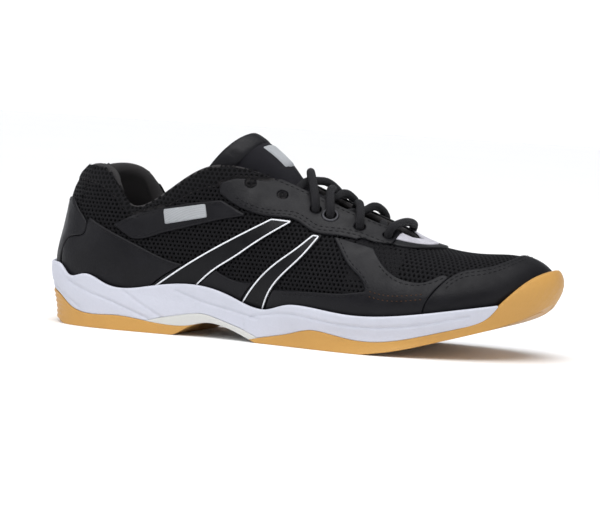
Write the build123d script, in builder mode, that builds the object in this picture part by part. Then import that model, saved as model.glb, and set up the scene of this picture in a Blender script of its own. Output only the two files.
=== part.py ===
from build123d import *
import math
import os

import numpy as np
from scipy.interpolate import CubicSpline

# Right court shoe, in millimetres. +X runs heel to toe, +Z up, the outer (lateral) side faces -Y.
# Every piece is its own closed solid. The stations and outlines below are drawn from the last's own
# datum, and each piece is moved by CENTRE_SHIFT as it is saved, so that the ground is z = 0.

# ---------------------------------------------------------------- driving dimensions
GROUND = -2.4                       # height of the ground below the last's datum
CENTRE_SHIFT = (2.25, -0.69, -GROUND)    # puts the origin on the ground under the middle of the box

MESH = (-1.0, 0.0)                  # layers, as distances out from the surface of the upper's mesh
OVERLAY = (0.12, 1.25)
TRIM = (1.3, 1.9)
STIFFENER = (-2.4, -1.15)
LINING = (-3.3, -2.6)
COLLAR_PAD = 4.2                    # extra foam at the collar's edge
COLLAR_START = 0.60                 # height fraction where the collar padding begins
COLLAR_END = 0.205                  # loop fraction where the collar padding ends
COLLAR_LINING = 0.8

SOLE_GAP = 2.0                      # from the upper's surface to the inside of the sole's side wall
SOLE_WALL = 1.7                     # thickness of the side wall
BUMPER = 1.6                        # extra thickness of the toe bumper
SOLE_FLARE = 5.5                    # widening of the side wall towards the ground
BOARD = 1.5
SOCK_LINER = 4.0
SOCK_COVER = 0.5

EYELET_R = 2.9
EYELET_HEIGHT = 0.87                # height fraction of the eyelet rows
EYELETS = (0.234, 0.259, 0.286, 0.298, 0.322, 0.348)
RINGED_EYELET = 3
LACE_R = 2.3
LACE_STEP = 2.5                     # half the height between two strands where they cross
AGLET_R = 1.6
AGLET_LENGTH = 18.0

TONGUE_THICK = (3.5, 6.5)           # at its root and at its free end
TONGUE_HINGE = 0.70                 # length fraction where the free end starts to bend

# ---------------------------------------------------------------- the upper's surface
# Stations run from the middle of the heel along the lateral side to the toe tip. Each gives six
# points up the wall: feather line, wall, shoulder, two on the crown, and the collar or throat edge.
STATIONS = [
    [(-143, 0, 14), (-147.5, 0, 32), (-145, 0, 50), (-142.5, 0, 64), (-139.5, 0, 77), (-130.5, 0, 86.5)],
    [(-134, -21, 14), (-138, -24.5, 31), (-136, -23.5, 48), (-134, -21.5, 63), (-131, -18.5, 78),
     (-124, -14.5, 89.5)],
    [(-112, -30, 14), (-113, -34, 30), (-112, -33.5, 46), (-110.5, -32, 60), (-109, -30, 73),
     (-107, -25, 84)],
    [(-85, -31.5, 12), (-86, -35, 27), (-88, -35, 41), (-90, -33.5, 51), (-92, -32, 60), (-94.5, -28, 67)],
    [(-48, -32, 11.5), (-50, -36, 28), (-54, -36.5, 45), (-57, -34.5, 60), (-61, -32, 74), (-65, -28, 84)],
    [(-18, -35, 11), (-20, -39, 24), (-24, -38.5, 44), (-29, -35, 62), (-34, -30, 80), (-38, -25, 95)],
    [(5, -39.5, 11), (4, -44, 24), (1, -42, 41), (-3, -36, 58), (-8, -27.5, 74), (-12, -16, 88)],
    [(36, -45.5, 11.5), (36, -50, 23), (34, -46, 39), (31, -38, 52), (27, -27, 63), (23, -14, 75)],
    [(66, -46.5, 13.5), (67, -51, 24), (66, -46, 38), (62, -36, 49), (57, -24, 57), (53, -12.5, 64)],
    [(99, -39, 17.5), (101.5, -43.5, 28.5), (99, -38.5, 41), (89, -28, 49.5), (76, -16.5, 54.5),
     (61.5, -7, 59.3)],
    [(124, -22, 23.5), (128, -25.5, 33.5), (125, -23, 44), (110, -16, 51.5), (88, -9.5, 53.4),
     (64, -3, 58.8)],
    [(134, 2, 27), (141, 2, 37), (137.5, 2, 47.5), (120, 1.5, 53.8), (94, 1, 53.2), (65, 0, 58.5)],
]
HEIGHTS = [0.0, 0.2, 0.4, 0.6, 0.8, 1.0]

# The medial side is the lateral side mirrored, narrower at the waist and fuller at the big toe.
MEDIAL_X = [-150, -100, -45, 0, 40, 75, 110, 135, 150]
MEDIAL_EXTRA = [0, 0, -4, -4.5, -1.5, 3, 6, 8, 0]


def medial_station(station):
    points = []
    for row, (x, y, z) in enumerate(station):
        fade = max(0, 1 - row / 4)
        points.append((x, -y + fade * float(np.interp(x, MEDIAL_X, MEDIAL_EXTRA)), z))
    return points


LOOP = [list(s) for s in STATIONS] + [medial_station(s) for s in STATIONS[-2:0:-1]]
LOOP = np.array(LOOP + [LOOP[0]], dtype=float)
STEPS = np.linalg.norm(np.diff(LOOP[:, 1], axis=0), axis=1)
LOOP_AT = np.concatenate([[0], np.cumsum(STEPS)]) / STEPS.sum()
WALL_CURVES = CubicSpline(HEIGHTS, LOOP, axis=1, bc_type="natural")


def surface(u, v):
    """Points of the upper: u goes round the shoe from the heel (0) by the toe (0.5), v goes up."""
    grid = WALL_CURVES(v)
    grid[-1] = grid[0]
    return CubicSpline(LOOP_AT, grid, axis=0, bc_type="periodic")(u)


def skin(u, v, lift=0.0):
    """The same surface moved out along its normals; lift is a number or one value per point."""
    u = np.atleast_1d(u)
    v = np.atleast_1d(v)
    e = 1e-3
    normal = np.cross(surface(u + e, v) - surface(u - e, v), surface(u, v + e) - surface(u, v - e))
    normal /= np.linalg.norm(normal, axis=-1, keepdims=True)
    return surface(u, v) + np.broadcast_to(lift, (len(u), len(v)))[..., None] * normal


def point(u, v, lift=0.0):
    return Vector(*skin(u, v, lift)[0, 0])


# ---------------------------------------------------------------- solids between two skins
def smooth_face(grid):
    rows = [[Vector(*p) for p in row] for row in grid]
    return Face.make_surface_from_array_of_points(rows, tol=0.02, min_deg=3, max_deg=3)


def border(grid, face):
    """The face's four edges, in order round its corners."""
    corners = [Vector(*p) for p in (grid[0][0], grid[-1][0], grid[-1][-1], grid[0][-1])]
    edges = []
    for i in range(4):
        a, b = corners[i], corners[(i + 1) % 4]
        edges.append(min(face.edges(), key=lambda e: min((e @ 0 - a).length + (e @ 1 - b).length,
                                                         (e @ 1 - a).length + (e @ 0 - b).length)))
    return edges


def between(inner, outer):
    """The closed solid between two grids of points."""
    low, high = smooth_face(inner), smooth_face(outer)
    pairs = zip(border(inner, low), border(outer, high))
    sides = [Face.make_surface_from_curves(a, b) for a, b in pairs]
    return Solid(Shell([low, high] + sides))


def ring_between(inner, outer):
    """The same for grids that close on themselves, so that only the two rims need faces."""
    low, high = smooth_face(inner), smooth_face(outer)
    rims = []
    for row in (0, -1):
        middles = [Vector(*grid[len(grid) // 2][row]) for grid in (inner, outer)]
        edges = [min(face.edges(), key=lambda e: (e @ 0.5 - middle).length)
                 for face, middle in zip((low, high), middles)]
        rims.append(Face.make_surface_from_curves(*edges))
    return Solid(Shell([low, high] + rims))


def layer(u_range, v_range, lifts):
    """A layer of the upper. Each of lifts is a number or a function of the u and v grids."""
    u = np.linspace(*u_range, max(8, round(90 * (u_range[1] - u_range[0]))))
    v = np.linspace(*v_range, max(6, round(13 * (v_range[1] - v_range[0]))))
    uu, vv = np.meshgrid(u, v, indexing="ij")
    low, high = [lift(uu, vv) if callable(lift) else lift for lift in lifts]
    return between(skin(u, v, low), skin(u, v, high))


def eyelet_planes(indices, sides):
    """Planes on the eyelets, facing out of the upper."""
    planes = []
    for i in indices:
        for side in sides:
            u = EYELETS[i] if side == "lateral" else 1 - EYELETS[i]
            foot = point(u, EYELET_HEIGHT)
            planes.append(Plane(foot, z_dir=point(u, EYELET_HEIGHT, 1) - foot))
    return planes


def save(part, name):
    moved = part.moved(Location(CENTRE_SHIFT))
    moved.label = name
    export_step(moved, f"parts/{name}.step")


os.makedirs("parts", exist_ok=True)
SIDES = ("lateral", "medial")


def side_range(side, start, end):
    """A stretch of the loop, given for the lateral side, on either side of the shoe."""
    return (start, end) if side == "lateral" else (1 - end, 1 - start)


# ---------------------------------------------------------------- the sole's side view
# Curves in the X-Z plane, in the order they are met going forward.
FEATHER = [(station[0][0], station[0][2]) for station in STATIONS]
HEEL_BEVEL = [(-158, 14), (-150, 6.5), (-143, 0.5), (-135, -2.2), (-128, -3.4)]
ARCH = [(-68, -3.4), (-63, -2), (-54, 3), (-44, 6), (-30, 4), (-17, -0.8), (-10, -3.4)]
TOE_SPRING = [(46, -3.4), (52, -2.4), (69, 0.6), (95, 7.8), (118, 15), (136, 23.5), (144, 30), (152, 42)]
WALL_TOP = [(-154, 33), (-145, 32.5), (-137, 31.5), (-130, 26), (-120, 27.6), (-105, 22.8), (-95, 21.4),
            (-79, 23.7), (-50, 26.6), (-31, 22.7), (-14, 17), (-8, 16.6), (5, 20.2), (15, 20.8),
            (42, 18.4), (72, 20), (99, 24.4), (123, 28.6)]
BUMPER_TOP = [(123, 28.6), (130, 36.5), (137, 43.5), (143, 47), (154, 49)]
HEEL_GUM_TOP = [(-158, 18), (-146, 17), (-138, 14.5), (-130, 9), (-118, 5.4), (-98, 5.8), (-82, 4.4),
                (-66, 3), (-56, 3.4), (-49, 5)]
FORE_GUM_TOP = [(-20, -1.6), (-8, 1.2), (9, 5), (20, 7.8), (32, 7), (47, 4.8), (62, 5), (84, 9.6),
                (103, 15), (116, 20.4), (123, 28.6)]
SHANK_TOP = [(-86, 2), (-74, 6), (-60, 9), (-46, 10.8), (-34, 8), (-22, 4.5), (-12, 0.5)]
FAR = 170                           # beyond the shoe in every direction


def side_cut(mode, closing, *curves, depth=2 * FAR, y=FAR):
    """Cuts the part by an X-Z outline: the curves in turn, closed by a run of straight lines."""
    with BuildSketch(Plane.XZ.offset(-y)) as outline:
        with BuildLine():
            for curve in curves:
                if len(curve) == 2:
                    Line(*curve)
                else:
                    Spline(*curve)
            if closing:
                Polyline(curves[-1][-1], *closing, curves[0][0])
        make_face()
    extrude(outline.sketch, amount=depth, mode=mode)


# ---------------------------------------------------------------- sole
def wall_thickness(u, v):
    bumper = BUMPER * np.exp(-((u - 0.5) / 0.05) ** 2)
    flare = SOLE_FLARE * (np.clip(0.2 - v, 0, None) / 0.4) ** 1.5
    return SOLE_WALL + bumper + flare


def plan_loop(v, lift):
    """A closed plan outline taken from the upper's surface."""
    u = np.linspace(0, 1, 48, endpoint=False)
    return [(p[0], p[1]) for p in skin(u, v, lift)[:, 0]]


def wall_points(u, v, thickness):
    """Points of the side wall's face, spread outwards without changing their height."""
    points = skin(u, v, SOLE_GAP)[0]
    away = skin(u, v, SOLE_GAP + 1)[0] - points
    away[:, 2] = 0
    away /= np.linalg.norm(away, axis=1, keepdims=True)
    return points + away * np.reshape(thickness(u, v), (-1, 1))


def wall_line(u, thickness):
    """A line up the side wall, from the toe spring or, further back, from below the ground."""
    v = np.linspace(-0.45, 0.4, 86)
    x, z = wall_points(u, v, thickness)[:, [0, 2]].T
    above = z - np.interp(x, *np.transpose(TOE_SPRING))
    last = np.flatnonzero(above < 0)[-1]
    low = float(np.interp(0, above[last:last + 2], v[last:last + 2]))
    return wall_points(u, np.linspace(low, 0.5, 10), thickness)


def sole_wall():
    """The side wall of the sole, all the way round, before it is trimmed."""
    around = np.linspace(0, 1, 193)
    inner = np.array([wall_line(u, lambda u, v: 0 * v) for u in around])
    outer = np.array([wall_line(u, wall_thickness) for u in around])
    inner[-1], outer[-1] = inner[0], outer[0]
    return ring_between(inner, outer)


def shape_underside():
    """Trims a piece of the sole to the ground, the heel's bevel and the arch."""
    side_cut(Mode.SUBTRACT, [(FAR, -30), (-FAR, -30)], [(-FAR, GROUND), (FAR, GROUND)])
    side_cut(Mode.SUBTRACT, [(-128, -30), (-FAR, -30), (-FAR, 14)], HEEL_BEVEL)
    side_cut(Mode.SUBTRACT, [(-10, -30), (-68, -30)], ARCH)


with BuildPart() as sole_slab:
    with BuildSketch(Plane.XY.offset(GROUND - 1)):
        with BuildLine():
            Spline(*plan_loop(0.0, 3.0), periodic=True)
        make_face()
    extrude(amount=40)
    side_cut(Mode.INTERSECT, [(FAR, -9), (-FAR, -9)],
             [(x, z - BOARD - 0.1) for x, z in [(-FAR, 14)] + FEATHER + [(FAR, 41)]])
    side_cut(Mode.SUBTRACT, [(FAR, 42), (FAR, -30), (46, -30)], TOE_SPRING)
    shape_underside()

with BuildPart() as sole_block:
    add(sole_wall())
    side_cut(Mode.SUBTRACT, [(FAR, 49), (FAR, 90), (-FAR, 90), (-FAR, 33)], WALL_TOP, BUMPER_TOP)
    shape_underside()
    add(sole_slab)

HEEL_CLOSE = [(-49, -9), (-FAR, -9), (-FAR, 18)]
FORE_CLOSE = [(123, 60), (FAR, 60), (FAR, -9), (-20, -9)]
SHANK_CLOSE = [(-12, -9), (-86, -9)]

GROOVE = 1.6
GROOVE_DEPTH = 1.4


def tread(places, reach):
    """Zig-zag grooves across the ground face."""
    teeth = [(-8 if i % 2 else 0, -reach + i * reach / 3) for i in range(7)]
    for x in places:
        with BuildSketch(Plane.XY.offset(GROUND)) as groove:
            with BuildLine():
                Polyline(*[(x + dx, y) for dx, y in teeth])
                offset(amount=GROOVE / 2, kind=Kind.INTERSECTION)
            make_face()
        extrude(groove.sketch, amount=GROOVE_DEPTH, both=True, mode=Mode.SUBTRACT)


with BuildPart() as outsole_heel:
    add(sole_block)
    side_cut(Mode.INTERSECT, HEEL_CLOSE, HEEL_GUM_TOP)
    tread([-118 + 11 * i for i in range(5)], 18)
save(outsole_heel.part, "outsole_heel")

with BuildPart() as outsole_forefoot:
    add(sole_block)
    side_cut(Mode.INTERSECT, FORE_CLOSE, FORE_GUM_TOP)
    tread([4 + 9 * i for i in range(6)], 30)
save(outsole_forefoot.part, "outsole_forefoot")

with BuildPart() as arch_shank:
    add(sole_block)
    side_cut(Mode.INTERSECT, SHANK_CLOSE, SHANK_TOP)
    side_cut(Mode.SUBTRACT, HEEL_CLOSE, HEEL_GUM_TOP)
    side_cut(Mode.SUBTRACT, FORE_CLOSE, FORE_GUM_TOP)
save(arch_shank.part, "arch_shank")

with BuildPart() as midsole:
    add(sole_block)
    side_cut(Mode.SUBTRACT, SHANK_CLOSE, SHANK_TOP)
    side_cut(Mode.SUBTRACT, HEEL_CLOSE, HEEL_GUM_TOP)
    side_cut(Mode.SUBTRACT, FORE_CLOSE, FORE_GUM_TOP)
save(midsole.part, "midsole")


# ---------------------------------------------------------------- boards inside the shoe
def raised_feather(rise):
    return [(x, z + rise) for x, z in [(-FAR, 14)] + FEATHER + [(FAR, 41)]]


def flat_layer(inset, low, high):
    """A sheet under the foot that follows the feather line, between two heights above it."""
    with BuildPart() as sheet:
        with BuildSketch(Plane.XY):
            with BuildLine():
                Spline(*plan_loop(0.0, -inset), periodic=True)
            make_face()
        extrude(amount=80)
        side_cut(Mode.INTERSECT, [(FAR, -9), (-FAR, -9)], raised_feather(high))
        side_cut(Mode.SUBTRACT, [(FAR, -9), (-FAR, -9)], raised_feather(low))
    return sheet.part


SHEETS = {"strobel_board": (3.6, -BOARD, 0.0), "sockliner": (5.4, 0.3, 0.3 + SOCK_LINER),
          "sockliner_cover": (5.6, 0.35 + SOCK_LINER, 0.35 + SOCK_LINER + SOCK_COVER)}
for name, (inset, low, high) in SHEETS.items():
    save(flat_layer(inset, low, high), name)


# ---------------------------------------------------------------- layers of the upper
def collar_depth(u, v):
    """Inner face of the collar foam: thin at its lower edge and front ends, full at the top."""
    from_heel = np.minimum(u % 1, 1 - u % 1)
    along = np.clip((COLLAR_END - from_heel) / 0.05, 0, 1)
    up = np.clip((v - COLLAR_START) / 0.2, 0, 1)
    return STIFFENER[0] - COLLAR_PAD * np.sin(along * math.pi / 2) * np.sin(up * math.pi / 2)


def collar_inner(gap):
    return lambda u, v: collar_depth(u, v) - gap


LAYERS = {
    "vamp_mesh": ((0.302, 0.698), (0.0, 0.99), MESH, range(4, 6), SIDES),
    "quarter_mesh_lateral": ((0.0005, 0.30), (0.0, 0.99), MESH, range(0, 4), ["lateral"]),
    "quarter_mesh_medial": ((0.70, 0.9995), (0.0, 0.99), MESH, range(0, 4), ["medial"]),
    "heel_counter": ((-0.16, 0.16), (0.0, 0.585), STIFFENER, [], []),
    "toe_puff": ((0.37, 0.63), (0.0, 0.62), STIFFENER, [], []),
    "eyestay_backing_lateral": ((0.212, 0.365), (0.60, 0.98), STIFFENER, range(6), ["lateral"]),
    "eyestay_backing_medial": ((0.635, 0.788), (0.60, 0.98), STIFFENER, range(6), ["medial"]),
    "waist_padding_lateral": ((0.165, 0.365), (0.0, 0.585), STIFFENER, [], []),
    "waist_padding_medial": ((0.635, 0.835), (0.0, 0.585), STIFFENER, [], []),
    "vamp_lining": ((0.212, 0.788), (0.0, 0.98), LINING, range(6), SIDES),
    "heel_lining": ((-0.207, 0.207), (0.0, 0.585), LINING, [], []),
    "collar_foam": ((-COLLAR_END, COLLAR_END), (COLLAR_START, 0.985), (collar_depth, STIFFENER[1]), [], []),
    "collar_lining": ((-COLLAR_END, COLLAR_END), (COLLAR_START, 0.985),
                      (collar_inner(0.05 + COLLAR_LINING), collar_inner(0.05)), [], []),
}
for name, (u_range, v_range, lifts, holes, sides) in LAYERS.items():
    with BuildPart() as sheet:
        add(layer(u_range, v_range, lifts))
        if sides:
            with Locations(*eyelet_planes(holes, sides)):
                Cylinder(EYELET_R, 14, mode=Mode.SUBTRACT)
    save(sheet.part, name)

# ---------------------------------------------------------------- overlays
# Side-view outlines in the X-Z plane, the same on both sides of the shoe. A long list is a
# smooth curve and a pair is a straight line.
STRIPE_1_REAR = [(-82, 19), (-79, 23), (-59, 37), (-38, 50), (-24, 58), (-10, 66)]
STRIPE_1_FRONT = [(3, 65), (-16, 52), (-27, 44), (-39, 36), (-49, 27), (-54, 19)]
STRIPE_2_REAR = [(-24, 12), (-23, 20), (-15, 31), (-3, 43), (7, 51), (15, 59)]
STRIPE_2_FRONT = [(21, 59), (15, 49), (4, 37), (-3, 28), (-8, 17), (-9, 11)]
HEEL_EDGE = [(-119.5, 59), (-107, 53.3), (-91, 47), (-78, 42), (-66, 38.4), (-59.8, 37.4)]
BACKSTAY_EDGE = [(-134, 69), (-126, 61), (-121, 55), (-122, 50), (-132, 47), (-137, 40), (-138, 20)]
TOE_EDGE = [(84, 12), (85, 26), (90, 35), (95, 41), (101, 45), (109, 46.8), (118, 49.8), (129, 58)]
BAND_TOP = [(-104, 56), (-93, 62), (-73, 68), (-57, 71.5), (-40, 74)]
BAND_FOOT = [(-24, 66.5), (-42, 62.5), (-61, 57), (-76, 52.5), (-85, 49.5), (-92, 49)]
STAY_FOOT = [(-42, 78), (-34, 73), (-24, 69), (-10, 66.6), (3, 65.6), (15, 60), (24, 59), (40, 57),
             (50, 54), (60, 52)]
SADDLE_REAR = [(26, 58.5), (32, 52), (41, 43), (50, 35.5), (52, 31.5)]
SADDLE_FOOT = [(52, 31.5), (40, 29.4), (26, 28.8), (3, 28)]
SADDLE_FRONT = [(96, 41), (92, 42.5), (86, 39.5), (76, 38), (66, 40.5), (57, 46.5), (50, 53.5)]
PIPING = 1.3


def panel(outline, side, u_range, v_range=(0.04, 0.985), lifts=OVERLAY):
    """A panel of the upper: one layer cut to a side-view outline on one side of the shoe."""
    with BuildPart() as piece:
        add(layer(side_range(side, *u_range), v_range, lifts))
        reach = {"depth": FAR, "y": 0 if side == "lateral" else FAR}
        side_cut(Mode.INTERSECT, None, *outline, **reach)
    return piece.part


def join(*curves):
    """Runs curves head to tail, with straight lines across the gaps, into a closed outline."""
    outline = []
    for i, curve in enumerate(curves):
        following = curves[(i + 1) % len(curves)]
        outline.append(curve)
        if curve[-1] != following[0]:
            outline.append([curve[-1], following[0]])
    return outline


def inset(curve, dx, dz):
    return [(x + dx, z + dz) for x, z in curve]


EDGE_GAP = 0.15
PANELS = {
    "heel_overlay": (join([(-137, 14), (-137, 20)], inset(BACKSTAY_EDGE[::-1], 5 * EDGE_GAP, 0)[1:5],
                          HEEL_EDGE, inset(STRIPE_1_REAR[:3][::-1], -EDGE_GAP, EDGE_GAP),
                          [(-83, 14), (-137, 14)]), (0.02, 0.19)),
    "stripe_rear": (join(STRIPE_1_REAR, STRIPE_1_FRONT), (0.11, 0.30)),
    "stripe_front": (join(STRIPE_2_REAR, STRIPE_2_FRONT), (0.18, 0.33)),
    "waist_overlay": (join(inset(STRIPE_1_FRONT[3:], EDGE_GAP, 0), [(-53, 12), (-24.2, 12)],
                           inset(STRIPE_2_REAR[:3], -EDGE_GAP, 0), [(-17.5, 30.2), (-25, 30.4), (-37.5, 34.6)]),
                      (0.15, 0.27)),
    "forefoot_overlay": (join(inset(STRIPE_2_FRONT[3:][::-1], EDGE_GAP, 0), SADDLE_FOOT[::-1],
                              SADDLE_REAR[::-1], [(26, 58.5), (50, 53.5)], SADDLE_FRONT[::-1],
                              inset(TOE_EDGE[:4][::-1], -EDGE_GAP, 0), [(83, 10), (-8, 10)]),
                         (0.22, 0.44)),
    "quarter_band": (join(BAND_TOP, BAND_FOOT), (0.07, 0.26)),
}
for name, (outline, u_range) in PANELS.items():
    for side in SIDES:
        save(panel(outline, side, u_range), f"{name}_{side}")

with BuildPart() as toe_cap:
    add(layer((0.36, 0.64), (0.04, 0.9), OVERLAY))
    side_cut(Mode.INTERSECT, [(FAR, 58), (FAR, 12)], TOE_EDGE)
save(toe_cap.part, "toe_cap")

with BuildPart() as backstay:
    add(layer((-0.075, 0.075), (0.04, 0.8), OVERLAY))
    side_cut(Mode.INTERSECT, [(-FAR, 20), (-FAR, 69)], BACKSTAY_EDGE)
save(backstay.part, "backstay")

# The throat piece is a crescent round the front end of the lacing, cut in plan. It starts
# just ahead of the straight front edges of the two eyestay leaves.
THROAT_CENTRE = (55, 0)
THROAT_RADIUS = 25.8
EYESTAY_FRONT = 58.0

for side in SIDES:
    with BuildPart() as eyestay:
        add(layer(side_range(side, 0.19, 0.42), (0.5, 0.985), OVERLAY))
        side_cut(Mode.INTERSECT, [(FAR, 52), (FAR, 120), (-42, 120)], STAY_FOOT,
                 depth=FAR, y=0 if side == "lateral" else FAR)
        with BuildSketch(Plane.XY):
            with Locations((EYESTAY_FRONT + FAR / 2, 0)):
                Rectangle(FAR, FAR)
        extrude(amount=FAR, mode=Mode.SUBTRACT)
        with Locations(*eyelet_planes(range(6), [side])):
            Cylinder(EYELET_R, 14, mode=Mode.SUBTRACT)
    save(eyestay.part, f"eyestay_{side}")

with BuildPart() as throat_piece:
    add(layer((0.33, 0.67), (0.55, 0.985), OVERLAY))
    with BuildSketch(Plane.XY):
        with Locations(THROAT_CENTRE):
            Circle(THROAT_RADIUS)
        with Locations((EYESTAY_FRONT + 0.2 - FAR / 2, 0)):
            Rectangle(FAR, FAR, mode=Mode.SUBTRACT)
    extrude(amount=FAR, mode=Mode.INTERSECT)
save(throat_piece.part, "throat_piece")


for side in SIDES:
    with BuildPart() as piping:
        add(layer(side_range(side, 0.11, 0.33), (0.10, 0.98), (OVERLAY[1] + 0.05, OVERLAY[1] + 0.5)))
        with BuildSketch(Plane.XZ.offset(0 if side == "lateral" else -FAR)):
            for edges in ((STRIPE_1_REAR[1:], STRIPE_1_FRONT[:5]), (STRIPE_2_REAR[1:], STRIPE_2_FRONT[:5])):
                with BuildLine():
                    Spline(*inset(edges[0], 1.2, -0.4))
                    Line(inset(edges[0], 1.2, -0.4)[-1], inset(edges[1], -1.8, -0.5)[0])
                    Spline(*inset(edges[1], -1.8, -0.5))
                trace(line_width=PIPING)
        extrude(amount=FAR, mode=Mode.INTERSECT)
    save(piping.part, f"stripe_piping_{side}")

for side in SIDES:
    label_outline = join([(-74, 66.5), (-49, 71.3)], [(-47, 64), (-72, 58.5)])
    save(panel(label_outline, side, (0.13, 0.22), (0.5, 0.95), TRIM), f"side_label_{side}")

# ---------------------------------------------------------------- eyelet rings
with BuildPart() as eyelet_rings:
    with Locations(*eyelet_planes([RINGED_EYELET], SIDES)):
        with Locations((0, 0, OVERLAY[1] + 0.75)):
            Cylinder(EYELET_R + 2.2, 0.9)
            Cylinder(EYELET_R + 0.1, 3, mode=Mode.SUBTRACT)
save(eyelet_rings.part, "eyelet_rings")

# ---------------------------------------------------------------- tongue
# Stations along the tongue: centre x and z, radius of its arch, and half its angle in degrees.
TONGUE = [(72, 47.5, 45, 22), (53, 54, 30, 36), (23, 68.5, 20, 65), (3, 80, 17, 76),
          (-9, 92, 15.5, 80), (-21, 102.5, 16.5, 84), (-36, 111.5, 19.5, 86)]
TONGUE_EARS = 0.07                  # how much longer the tongue is along its sides
TONGUE_DROP = 9.0                   # how far the sides of its free end hang down
TONGUE_POINTS = np.array(TONGUE, dtype=float)
TONGUE_AT = np.concatenate([[0], np.cumsum(np.linalg.norm(np.diff(TONGUE_POINTS[:, :2], axis=0), axis=1))])
TONGUE_CURVE = CubicSpline(TONGUE_AT / TONGUE_AT[-1], TONGUE_POINTS, bc_type="natural")


def tongue_skin(s, across, lift):
    """Points of the tongue: s runs from its root to its free end, across from -1 to 1."""
    s, across = np.meshgrid(s, across, indexing="ij")
    s = s * (1 + TONGUE_EARS * across ** 2)
    x, z, radius, half = np.moveaxis(TONGUE_CURVE(s), -1, 0)
    slope = TONGUE_CURVE(s, 1)
    length = np.hypot(slope[..., 0], slope[..., 1])
    up_x, up_z = slope[..., 1] / length, -slope[..., 0] / length
    angle = np.radians(half) * across
    rise = (radius + lift) * np.cos(angle) - radius
    drop = TONGUE_DROP * across ** 4 * np.clip((s - 0.45) / 0.4, 0, 1) ** 2
    return np.stack([x + rise * up_x, (radius + lift) * np.sin(angle), z + rise * up_z - drop], axis=-1)


def tongue_layer(s_range, across, low, high):
    s = np.linspace(*s_range, max(6, round(36 * (s_range[1] - s_range[0]))))
    a = np.linspace(*across, 13)
    root, tip = TONGUE_THICK
    thick = (root + (tip - root) * s ** 2)[:, None]
    return between(tongue_skin(s, a, low if low is not None else -thick), tongue_skin(s, a, high))


TONGUE_PARTS = {
    "tongue_lower": ((0.0, TONGUE_HINGE - 0.006), (-1, 1), None, 0.0),
    "tongue_upper": ((TONGUE_HINGE + 0.006, 1.0), (-1, 1), None, 0.0),
    "tongue_binding": ((0.93, 1.005), (-1, 1), 0.05, 0.9),
    "tongue_label": ((0.75, 0.92), (-0.35, 0.35), 0.05, 0.7),
}
for name, (s_range, across, low, high) in TONGUE_PARTS.items():
    with BuildPart() as piece:
        add(tongue_layer(s_range, across, low, high))
    save(piece.part, name)

# ---------------------------------------------------------------- lace
# One half of the lace, from the middle of the front bar down the lateral front eyelet, then
# criss-cross up the throat to its end inside the shoe. The last number is 1 where this half
# passes over the other one, -1 where it passes under it, and 0 elsewhere.
LACE_HALF = [
    (56.5, -13, 67, 0), (55, -23.2, 65, 0), (51.4, -16.6, 53.2, 0), (46, -7, 63.5, 1), (42, 6, 63.5, 1),
    (35.8, 17.9, 58.2, 0), (38.9, 25.2, 68.2, 0), (34.5, 14, 76, 0), (30.5, 4.5, 74, -1),
    (26, -6, 73.5, -1), (22, -13, 69.5, 0), (18.6, -18.2, 63.2, 0), (21.7, -26, 72.6, 0),
    (16.5, -14.5, 82, 0), (14, -4.5, 81, 1), (11.5, 6.5, 80.5, 1), (10.6, 13.4, 74, 0),
    (9.9, 18.1, 66.3, 0), (13.1, 26.1, 75.7, 0), (6.5, 14.5, 86.5, 0), (1.5, 5, 89.5, -1),
    (-2.5, -5.5, 89, -1), (-3.5, -14.5, 79, 0), (-4, -20, 69, 0), (-8, -24, 62, 0), (-18, -26, 57.5, 0),
]


def lace_half(side):
    return [Vector(x, side * y, z + side * over * LACE_STEP) for x, y, z, over in LACE_HALF]


route = lace_half(-1)[::-1] + [Vector(57, 0, 68)] + lace_half(1)


def bend_radii(points):
    """For each corner, an arc that uses 0.45 of the shorter of its two runs."""
    radii = []
    for before, corner, after in zip(points, points[1:], points[2:]):
        run_in, run_out = corner - before, after - corner
        turn = math.radians(run_in.get_angle(run_out))
        radii.append(0.45 * min(run_in.length, run_out.length) / math.tan(turn / 2))
    return radii


with BuildPart() as lace:
    with BuildLine() as lace_line:
        FilletPolyline(*route, radius=bend_radii(route))
    with BuildSketch(Plane(route[0], z_dir=route[1] - route[0])):
        Circle(LACE_R)
    sweep()
save(lace.part, "lace")
lace_length = lace_line.wire().length
print("lace: length", round(lace_length, 1), "volume over section times length",
      round(lace.part.volume / (math.pi * LACE_R ** 2 * lace_length), 4),
      "radii", [round(r, 1) for r in bend_radii(route)])

with BuildPart() as lace_aglets:
    for end, previous in ((route[0], route[1]), (route[-1], route[-2])):
        with BuildSketch(Plane(end, z_dir=end - previous)):
            Circle(AGLET_R)
        extrude(amount=AGLET_LENGTH)
save(lace_aglets.part, "lace_aglets")
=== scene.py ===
import math

import bpy
import numpy as np
from mathutils import Matrix, Vector
from mathutils.kdtree import KDTree


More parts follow.
